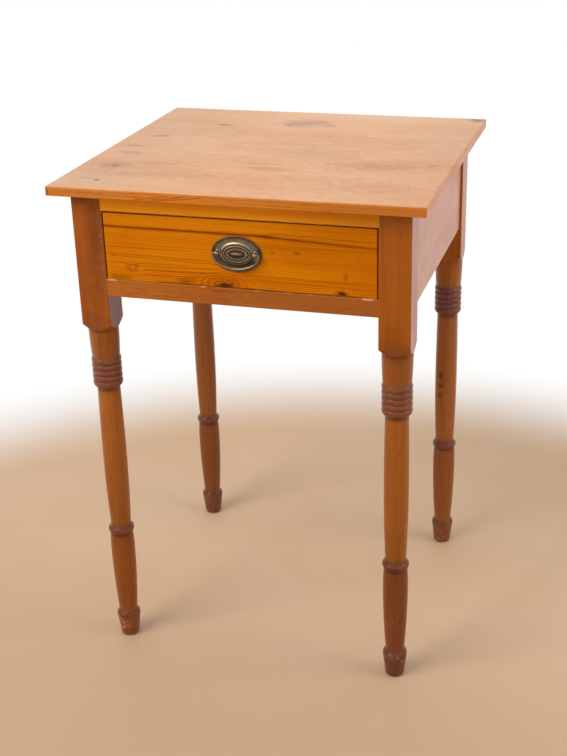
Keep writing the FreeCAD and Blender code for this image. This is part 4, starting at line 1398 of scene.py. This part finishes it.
@dataclass
class DrawerFront:
    """The pine drawer front, grooved for the bottom and with sockets for the sides' dovetails.

    It is a thin board for the face, with the thickness behind it made of blocks that overlap it
    and taper by a hair, so that no two faces lie in one plane.
    """

    half_width: float = 186.9
    inner: float = 174.9
    face: float = -216.5
    lap: float = -210.5
    rear: float = -197.5
    groove: float = -202.5
    low: float = 591.6
    high: float = 684.8
    groove_levels: tuple[float, float] = (599.6, 605.6)
    tails: tuple[float, ...] = (15.03, 45.1, 75.17)
    root_half: float = 8.5
    tip_half: float = 11.0
    arris: float = 1.0
    overlap: float = 0.8
    hair: float = 0.1

    def finish(self) -> WoodFinish:
        """Sets out the front's finish, bright varnished pine with lines of grain, a soft painted
        shadow along its darkest line, a painted shade line along its lower edge and a few knots.

        Returns:
            The finish.
        """
        face, dark = self.face, (92, 38, 3)
        brown, wine, core = (150, 72, 3), (120, 46, 6), (62, 20, 16)
        return WoodFinish(
            "Drawer_Front_Pine", Grain.X, early=(219, 129, 5), late=(152, 67, 2), ring=2.7,
            pith=(-236.0, 400.0), wander=3.4, contrast=1.0, fibre=0.3, patchy=(220, 168, 110),
            patchiness=0.5, worn=(206, 124, 30), wear=0.3, rough=(0.28, 0.42), coat=0.08,
            gloss=1.25, sheen=(255, 160, 30), seed=2.2,
            marks=(
                Mark((-20, face, 677), (210, 8, 7), (224, 136, 12), 0.6, 0.6, 0.5),
                Mark((115, face, 645), (90, 8, 10), (186, 98, 3), 0.5, 0.9, 1.2),
                Mark((190, face, 630), (40, 8, 60), (184, 96, 4), 0.5, 0.9, 0.8),
                Mark((140, face, 676), (60, 8, 10), (186, 100, 4), 0.6, 0.9, 0.8),
                Mark((-74, face, 597), (13, 8, 5), wine, 0.5, 0.7, 1.4),
                Mark((-26, face, 597), (33, 8, 14), (136, 56, 5), 0.6, 0.5, 0.2, bands=3.4),
                Mark((-20, face, 597), (20, 8, 6), brown, 0.5, 0.8, 1.0, swirl=-12.0),
                Mark((-17, face, 594.6), (11, 8, 2.8), core, 0.9, 0.6, 1.0),
                Mark((141, face, 595), (8, 8, 4), wine, 0.6, 0.7, 1.0, swirl=-8.0),
                Mark((141, face, 595), (4.5, 8, 2.6), core, 0.9, 0.4, 0.8),
                Mark((146, face, 617), (3, 8, 7), brown, 0.6, 0.7, 0.8),
                Mark((49, face, 644), (2.6, 8, 1.6), brown, 0.6, 0.6, 0.8),
                Mark((82, face, 646), (4.4, 8, 1.8), wine, 0.6, 0.6, 1.0),
                Mark((-150, face, 611), (9, 8, 4.6), wine, 0.5, 0.6, 1.6, swirl=6.0),
                Mark((-149, face, 611), (3.6, 8, 1.9), (228, 134, 30), 0.65, 0.5, 0.8),
                Mark((-176, face, 626), (3, 8, 2), brown, 0.7, 0.6, 1.0),
                Mark((-168, face, 596), (16, 8, 3.4), wine, 0.45, 0.7, 1.6),
            ),
            lines=(
                # Two wide soft lines along the path of the darkest lines of grain: a painted
                # shadow.
                GrainAndShadeLine(666.0, -0.003, 0.0, 4.0, (-205, 60), brown, 0.45),
                GrainAndShadeLine(667.0, -0.047, 0.0, 4.0, (30, 205), brown, 0.45),
                GrainAndShadeLine(666.3, -0.003, 0.0, 1.8, (-205, 50), (126, 50, 3), 0.9, 0.6),
                GrainAndShadeLine(667.3, -0.047, 0.0, 1.3, (22, 205), (112, 44, 3), 0.85, 0.6),
                GrainAndShadeLine(672.0, -0.03, 0.0, 1.2, (40, 205), brown, 0.7),
                GrainAndShadeLine(678.5, -0.008, 0.0, 1.3, (-40, 205), brown, 0.6),
                GrainAndShadeLine(655.0, -0.01, 0.0, 0.8, (40, 205), brown, 0.5),
                GrainAndShadeLine(640.0, 0.01, 0.0, 0.7, (-205, -60), brown, 0.4),
                GrainAndShadeLine(627.0, -0.01, 0.0, 0.8, (-205, -30), brown, 0.6),
                GrainAndShadeLine(622.5, -0.02, 0.0, 0.8, (-180, 10), brown, 0.6),
                GrainAndShadeLine(620.0, 0.02, 0.0, 0.7, (-205, -60), brown, 0.5),
                GrainAndShadeLine(618.0, 0.06, 0.0002, 0.8, (-150, -20), brown, 0.6),
                GrainAndShadeLine(612.5, 0.07, 0.0003, 0.9, (-140, -20), brown, 0.7),
                GrainAndShadeLine(603.0, 0.01, 0.0, 0.8, (-140, -50), brown, 0.6),
                GrainAndShadeLine(612.0, -0.03, 0.0001, 0.8, (0, 205), brown, 0.5),
                GrainAndShadeLine(606.0, -0.02, 0.0, 0.8, (20, 205), brown, 0.5),
                # A dark line along the lower edge: painted shade over the gap above the lower rail.
                GrainAndShadeLine(592.1, 0.0, 0.0, 1.3, (-120, 176), dark, 0.85, 0.4),
            ),
        )

    def build(self) -> list[bpy.types.Object]:
        """Builds and dresses the drawer front.

        Returns:
            The one new piece.
        """
        skin = Skin()
        Board((-self.half_width, self.face, self.low), (self.half_width, self.lap, self.high),
              self.arris).add_to(skin)
        under, over = self.groove_levels
        behind, rear, inner = self.lap - self.overlap, self.rear, self.inner
        lowest = (self.low + self.arris, self.low + self.hair)
        highest = (self.high - self.arris, self.high - self.hair)
        skin.prism([(behind, lowest[0]), (rear, lowest[1]), (rear, under), (self.groove, under),
                    (self.groove, over), (rear, over), (rear, highest[1]), (behind, highest[0])],
                   -inner, inner)
        # Between the tails stands solid wood: each pair of levels is one block's underside and top.
        levels = [lowest]
        for tail in self.tails:
            centre = self.low + tail
            levels += [(centre - self.tip_half, centre - self.root_half),
                       (centre + self.tip_half, centre + self.root_half)]
        levels.append(highest)
        start, end = inner - 2 * self.hair, self.half_width - self.hair
        for (tip_low, root_low), (tip_high, root_high) in zip(levels[::2], levels[1::2]):
            outline = [(behind, tip_low), (rear, root_low), (rear, root_high), (behind, tip_high)]
            skin.prism(outline, start, end)
            skin.prism(outline, -end, -start)
        piece = skin.finish("Drawer_Front", "drawer", "front_pine", "drawer_front")
        dress(self.finish().material(), piece)
        return [piece]


@dataclass
class OvalPull:
    """The pull: a stamped oval backplate, two ball-headed posts and a swinging bail.

    Plate holds the backplate's half width, half height, height off the drawer and painted relief
    from its rim to its middle, and rope, dots and crest are the steps that the two rings of beads
    and the bright ridge take up. Post holds each post's heights and radii. The bail hangs from
    its pins by small elbows, round sides and a flatter bow, and swells towards its middle.
    """

    centre_z: float = 639.5
    axis_z: float = 641.7
    face: float = -216.5
    axis_y: float = -223.1
    post_x: float = 26.0
    spokes: int = 168
    beads: int = 42
    small_beads: int = 22
    bead_depth: float = 0.55
    bead_lean: float = 0.25
    crest_highlight_tilt: float = 0.4
    plate: tuple[tuple[float, float, float, float], ...] = (
        (34.6, 24.6, 0.0, 0.1), (35.0, 25.0, 0.5, 0.2), (34.9, 24.9, 0.95, 0.25),
        (34.5, 24.5, 1.2, 0.35), (34.0, 24.0, 1.2, 0.3), (33.4, 23.4, 1.0, 0.25),
        (32.6, 22.7, 0.72, 0.2), (30.8, 21.3, 0.6, 0.3), (28.4, 19.6, 0.62, 0.35),
        (26.0, 17.8, 0.75, 0.35), (24.4, 16.7, 1.0, 0.35), (23.2, 15.9, 1.4, 0.55),
        (22.4, 15.3, 1.8, 0.85), (21.7, 14.8, 2.05, 1.0), (21.1, 14.3, 2.1, 1.0),
        (20.6, 13.7, 1.9, 0.7), (20.1, 13.0, 1.5, 0.2), (19.6, 12.2, 1.35, 0.05),
        (19.2, 11.8, 1.5, 0.15), (18.8, 11.4, 1.9, 0.5), (18.3, 11.0, 2.15, 0.75),
        (17.8, 10.5, 2.2, 0.8), (17.3, 10.0, 2.0, 0.5), (16.8, 9.5, 1.7, 0.1),
        (15.9, 8.9, 1.6, 0.1), (15.0, 8.2, 1.7, 0.3), (14.1, 7.4, 1.95, 0.6),
        (13.3, 6.8, 2.05, 0.7), (12.5, 6.1, 1.95, 0.5), (11.7, 5.4, 1.75, 0.15),
        (10.2, 3.9, 1.75, 0.1), (9.0, 2.6, 1.8, 0.1), (8.3, 2.1, 2.1, 0.2),
        (7.6, 1.7, 2.5, 0.3), (6.4, 1.2, 2.8, 0.36), (3.6, 0.6, 3.0, 0.36),
        (0.5, 0.1, 3.0, 0.36),
    )
    rope: tuple[int, int] = (18, 23)
    dots: tuple[int, int] = (25, 29)
    crest: tuple[int, int] = (11, 16)
    post: tuple[tuple[float, float], ...] = (
        (0.8, 3.8), (1.4, 3.8), (1.9, 3.6), (2.2, 3.0), (2.4, 2.4), (3.0, 2.2), (3.4, 2.2),
        (3.9, 2.5), (4.4, 2.9), (5.0, 3.15), (5.7, 3.27), (6.4, 3.3), (7.1, 3.27), (7.8, 3.1),
        (8.5, 2.7), (9.1, 2.1), (9.5, 1.4), (9.7, 0.6),
    )
    post_sides: int = 32
    post_neck: tuple[float, float] = (2.3, 3.8)
    neck_relief: float = 0.1
    ball_relief: float = 0.65
    pin_end: float = 22.0
    pin_lead: float = 3.0
    elbow: float = 1.8
    arm_x: float = 31.4
    side_radius: float = 14.5
    drop: float = 20.8
    rod: float = 1.4
    middle: float = 2.2
    swell_reach: float = 42.0
    bow_steps: int = 15
    side_steps: int = 16
    elbow_steps: int = 8
    rod_sides: int = 20
    rod_relief: float = 0.36
    rod_highlight: float = 0.16

    def backplate(self) -> bpy.types.Object:
        """Builds the backplate.

        Returns:
            Its object.
        """
        skin, rings = Skin(), []
        for number, (half_x, half_z, height, relief) in enumerate(self.plate):
            ring = []
            for angle in directions(self.spokes):
                sunk, shine = 0.0, relief
                if self.crest[0] <= number <= self.crest[1]:
                    # The ridge is painted brighter at its upper left and darker below: painted
                    # highlight and painted shade.
                    shine *= 0.55 + 0.45 * math.sin(angle - self.crest_highlight_tilt)
                for (low, high), count, lean in (
                    (self.rope, self.beads, self.bead_lean), (self.dots, self.small_beads, 0.0),
                ):
                    if low <= number <= high:
                        across = math.sin(math.pi * (number - low + 0.5) / (high - low + 1))
                        wave = abs(math.sin(count * angle / 2 + (number - low) * lean))
                        sunk = self.bead_depth * across * (1 - wave) ** 1.5
                        shine = relief * (0.25 + 0.75 * wave)
                at = (half_x * math.cos(angle), self.face - height + sunk,
                      self.centre_z + half_z * math.sin(angle))
                ring.append(skin.point(at, relief=shine))
            rings.append(ring)
        skin.loft(rings)
        return skin.finish("Pull_Backplate", "drawer", "antique_brass", "pull_backplate")

    def post_piece(self, side: Side) -> bpy.types.Object:
        """Builds one ball-headed post, turned about the way it sticks out.

        Args:
            side: which of the two posts.

        Returns:
            Its object.
        """
        skin, rings = Skin(), []
        low, high = self.post_neck
        for reach, radius in self.post:
            ring = []
            for angle in directions(self.post_sides):
                at = (side.value * self.post_x + radius * math.cos(angle), self.face - reach,
                      self.axis_z + radius * math.sin(angle))
                relief = self.neck_relief if low < reach < high else self.ball_relief
                ring.append(skin.point(at, relief=relief))
            rings.append(ring)
        skin.loft(rings)
        word = side.name.lower()
        name, node = f"Pull_{word.title()}_Post", f"pull_{word}_post"
        return skin.finish(name, "drawer", "antique_brass", node)

    def bail_path(self) -> list[tuple[Vector, Vector, float]]:
        """Works out the bail's line from its middle to its right-hand pin.

        Returns:
            Place, direction and share of the swell at each step, from the pull's axis.
        """
        side_x = self.arm_x - self.side_radius
        down = self.drop - self.elbow
        # The bow's arc touches the side's arc, where it has turned by sweep from its middle.
        bow = (side_x ** 2 + down ** 2 - self.side_radius ** 2) / (2 * (down - self.side_radius))
        sweep = math.atan2(side_x, bow + self.elbow - self.drop)
        quarter = math.pi / 2
        arcs = [(0.0, bow - self.drop, bow, sweep * k / self.bow_steps)
                for k in range(self.bow_steps)]
        arcs += [(side_x, -self.elbow, self.side_radius,
                  sweep + (quarter - sweep) * k / self.side_steps)
                 for k in range(self.side_steps + 1)]
        arcs += [(self.arm_x - self.elbow, -self.elbow, self.elbow,
                  quarter * (1 + k / self.elbow_steps)) for k in range(1, self.elbow_steps + 1)]
        path = [(Vector((x + radius * math.sin(turn), 0, z - radius * math.cos(turn))),
                 Vector((math.cos(turn), 0, math.sin(turn)))) for x, z, radius, turn in arcs]
        path += [(Vector((x, 0, 0)), Vector((-1, 0, 0)))
                 for x in (self.pin_end + self.pin_lead, self.pin_end)]
        run, out = 0.0, []
        for k, (at, way) in enumerate(path):
            run += (at - path[k - 1][0]).length if k else 0.0
            out.append((at, way, max(0.0, 1 - run / self.swell_reach)))
        return out

    def bail(self) -> bpy.types.Object:
        """Builds the bail as a tube that swells towards its middle.

        Returns:
            Its object.
        """
        half = self.bail_path()
        mirrored = [(Vector((-at.x, 0, at.z)), Vector((way.x, 0, -way.z)), swell)
                    for at, way, swell in reversed(half[1:])]
        skin, rings = Skin(), []
        for at, way, swell in mirrored + half:
            radius = self.rod + (self.middle - self.rod) * (3 * swell ** 2 - 2 * swell ** 3)
            outward, forward = Vector((way.z, 0, -way.x)), Vector((0, 1, 0))
            ring = []
            for angle in directions(self.rod_sides):
                off = outward * (radius * math.cos(angle)) - forward * (radius * math.sin(angle))
                place = Vector((0, self.axis_y, self.axis_z)) + at + off
                # The rod's front is painted brighter and its back darker: a painted highlight.
                relief = self.rod_relief + self.rod_highlight * math.sin(angle)
                ring.append(skin.point(place, relief=relief))
            rings.append(ring)
        skin.loft(rings)
        return skin.finish("Pull_Bail", "bail", "antique_brass", "pull_bail")

    def build(self) -> list[bpy.types.Object]:
        """Builds and dresses the pull.

        Returns:
            The four new pieces.
        """
        pieces = [self.backplate(), self.bail(), *(self.post_piece(side) for side in Side)]
        dress(BrassFinish().material(), *pieces)
        return pieces


@dataclass
class InnerPieces:
    """The pieces inside the frame and drawer, and the brass and iron that hold them."""

    along: tuple[str, ...] = (
        "left_drawer_runner", "right_drawer_runner", "left_drawer_guide", "right_drawer_guide",
        "left_kicker", "right_kicker",
    )
    stops: tuple[str, ...] = ("left_drawer_stop", "right_drawer_stop")
    sides: tuple[str, ...] = ("drawer_left_side", "drawer_right_side")
    iron: tuple[str, ...] = (
        "top_screws", "runner_nails", "kicker_nails", "guide_nails", "drawer_bottom_nails",
    )
    nuts: tuple[str, ...] = ("pull_left_nut", "pull_right_nut")

    def dress_all(self) -> list[str]:
        """Gives each inner piece its bare wood, brass or iron.

        Returns:
            The construction nodes that are dressed.
        """
        raw = WoodFinish(
            "Inner_Pine_Along", Grain.Y, early=(206, 162, 108), late=(170, 116, 66), ring=3.6,
            pith=(120.0, 420.0), wander=4.0, contrast=0.5, patchy=(200, 172, 140), patchiness=0.5,
            rough=(0.6, 0.8), coat=0.0, seed=12.0,
        )
        across = replace(raw, grain=Grain.X, pith=(-120.0, 460.0))
        wide = replace(across, name="Drawer_Bottom_Pine", pith=(30.0, 400.0), seed=17.0)
        dressed = []
        for finish, nodes in (
            (BrassFinish("Brass_Nuts", least_relief=0.5), self.nuts),
            (raw, self.along),
            (replace(raw, name="Drawer_Side_Pine", pith=(60.0, 480.0), seed=13.5), self.sides),
            (replace(across, name="Drawer_Stop_Pine", seed=15.0), self.stops),
            (replace(across, name="Drawer_Back_Pine", seed=16.0), ("drawer_back",)),
            (wide, ("drawer_bottom",)),
            (IronFinish(), self.iron),
        ):
            dress(finish.material(), *nodes)
            dressed += nodes
        return dressed


@dataclass(frozen=True)
class Lamp:
    """A soft square lamp. Its place and the length of its side are in metres, power in watts."""

    name: str
    place: Triple
    size: float
    power: float
    paint: Paint


@dataclass
class Studio:
    """The plain floor, soft light and camera, in metres, radians and, for the lens, millimetres."""

    lens: float = 61.66
    sensor: float = 36.0
    place: Triple = (0.5307, -1.7375, 1.1746)
    turn: float = 0.3009831
    tilt: float = 0.4172385
    lean: float = -0.0294544
    ambient: float = 0.62
    floor_half: float = 12.0
    aim: Triple = (0.0, 0.0, 0.4)
    lamps: tuple[Lamp, ...] = (
        Lamp("Key_Lamp", (-1.7, -2.1, 2.6), 1.8, 62.0, (255, 250, 244)),
        Lamp("Fill_Lamp", (2.8, -0.1, 1.6), 1.6, 27.0, (250, 250, 255)),
    )

    def floor(self) -> None:
        """Lays the floor."""
        mesh = bpy.data.meshes.new("Floor")
        half = self.floor_half
        corners = [(-half, -half, 0), (half, -half, 0), (half, half, 0), (-half, half, 0)]
        mesh.from_pydata(corners, [], [(0, 1, 2, 3)])
        floor = bpy.data.objects.new("Floor", mesh)
        bpy.context.scene.collection.objects.link(floor)
        mesh.materials.append(FloorFinish().material())

    def camera(self) -> None:
        """Sets up the camera, turned to the left, tilted down and leaning a little."""
        forward = Vector((-math.sin(self.turn) * math.cos(self.tilt),
                          math.cos(self.turn) * math.cos(self.tilt), -math.sin(self.tilt)))
        level = Vector((math.cos(self.turn), math.sin(self.turn), 0.0))
        upright = level.cross(forward)
        right = math.cos(self.lean) * level + math.sin(self.lean) * upright
        upward = math.cos(self.lean) * upright - math.sin(self.lean) * level
        data = bpy.data.cameras.new("Camera")
        data.lens, data.sensor_width = self.lens, self.sensor
        camera = bpy.data.objects.new("Camera", data)
        bpy.context.scene.collection.objects.link(camera)
        turned = Matrix((right, upward, -forward)).transposed().to_4x4()
        camera.matrix_world = Matrix.Translation(self.place) @ turned
        bpy.context.scene.camera = camera

    def hang(self, lamp: Lamp) -> None:
        """Hangs a lamp so that it faces the stand.

        Args:
            lamp: the lamp.
        """
        data = bpy.data.lights.new(lamp.name, "AREA")
        data.size, data.energy, data.color = lamp.size, lamp.power, linear(lamp.paint)[:3]
        hung = bpy.data.objects.new(lamp.name, data)
        bpy.context.scene.collection.objects.link(hung)
        hung.location = lamp.place
        hung.rotation_mode = "QUATERNION"
        way = Vector(self.aim) - Vector(lamp.place)
        hung.rotation_quaternion = way.to_track_quat("-Z", "Y")

    def room(self) -> None:
        """Makes the room white to look at, and lets it light the stand evenly."""
        world = bpy.data.worlds.new("Room")
        bpy.context.scene.world = world
        shop = NodeShop(world)
        seen = shop.rays("Camera", "Glossy", "Transmission")
        level = shop.node("MapRange", None, {0: seen, 3: self.ambient, 4: 1.0})
        light = shop.node("Background", None, {"Color": WHITE, "Strength": level})
        shop.node("OutputWorld", None, {"Surface": light})

    def build(self) -> None:
        """Sets up the whole studio."""
        scene = bpy.context.scene
        scene.view_settings.view_transform = "Standard"
        self.camera()
        self.floor()
        self.room()
        for lamp in self.lamps:
            self.hang(lamp)


def main() -> None:
    """Builds the stand and its studio."""
    logging.basicConfig(level=logging.INFO, format="%(message)s")
    Studio().build()
    LOG.info("studio set up")
    legs = [TurnedLeg(side, end) for end in End for side in Side]
    for unit in (TabletopBoard(), *legs, FrameJoinery(), DrawerFront(), OvalPull()):
        for piece in unit.build():
            LOG.info("%s made", piece.name)
    for node in InnerPieces().dress_all():
        LOG.info("%s dressed", node)


if __name__ == "__main__":
    main()
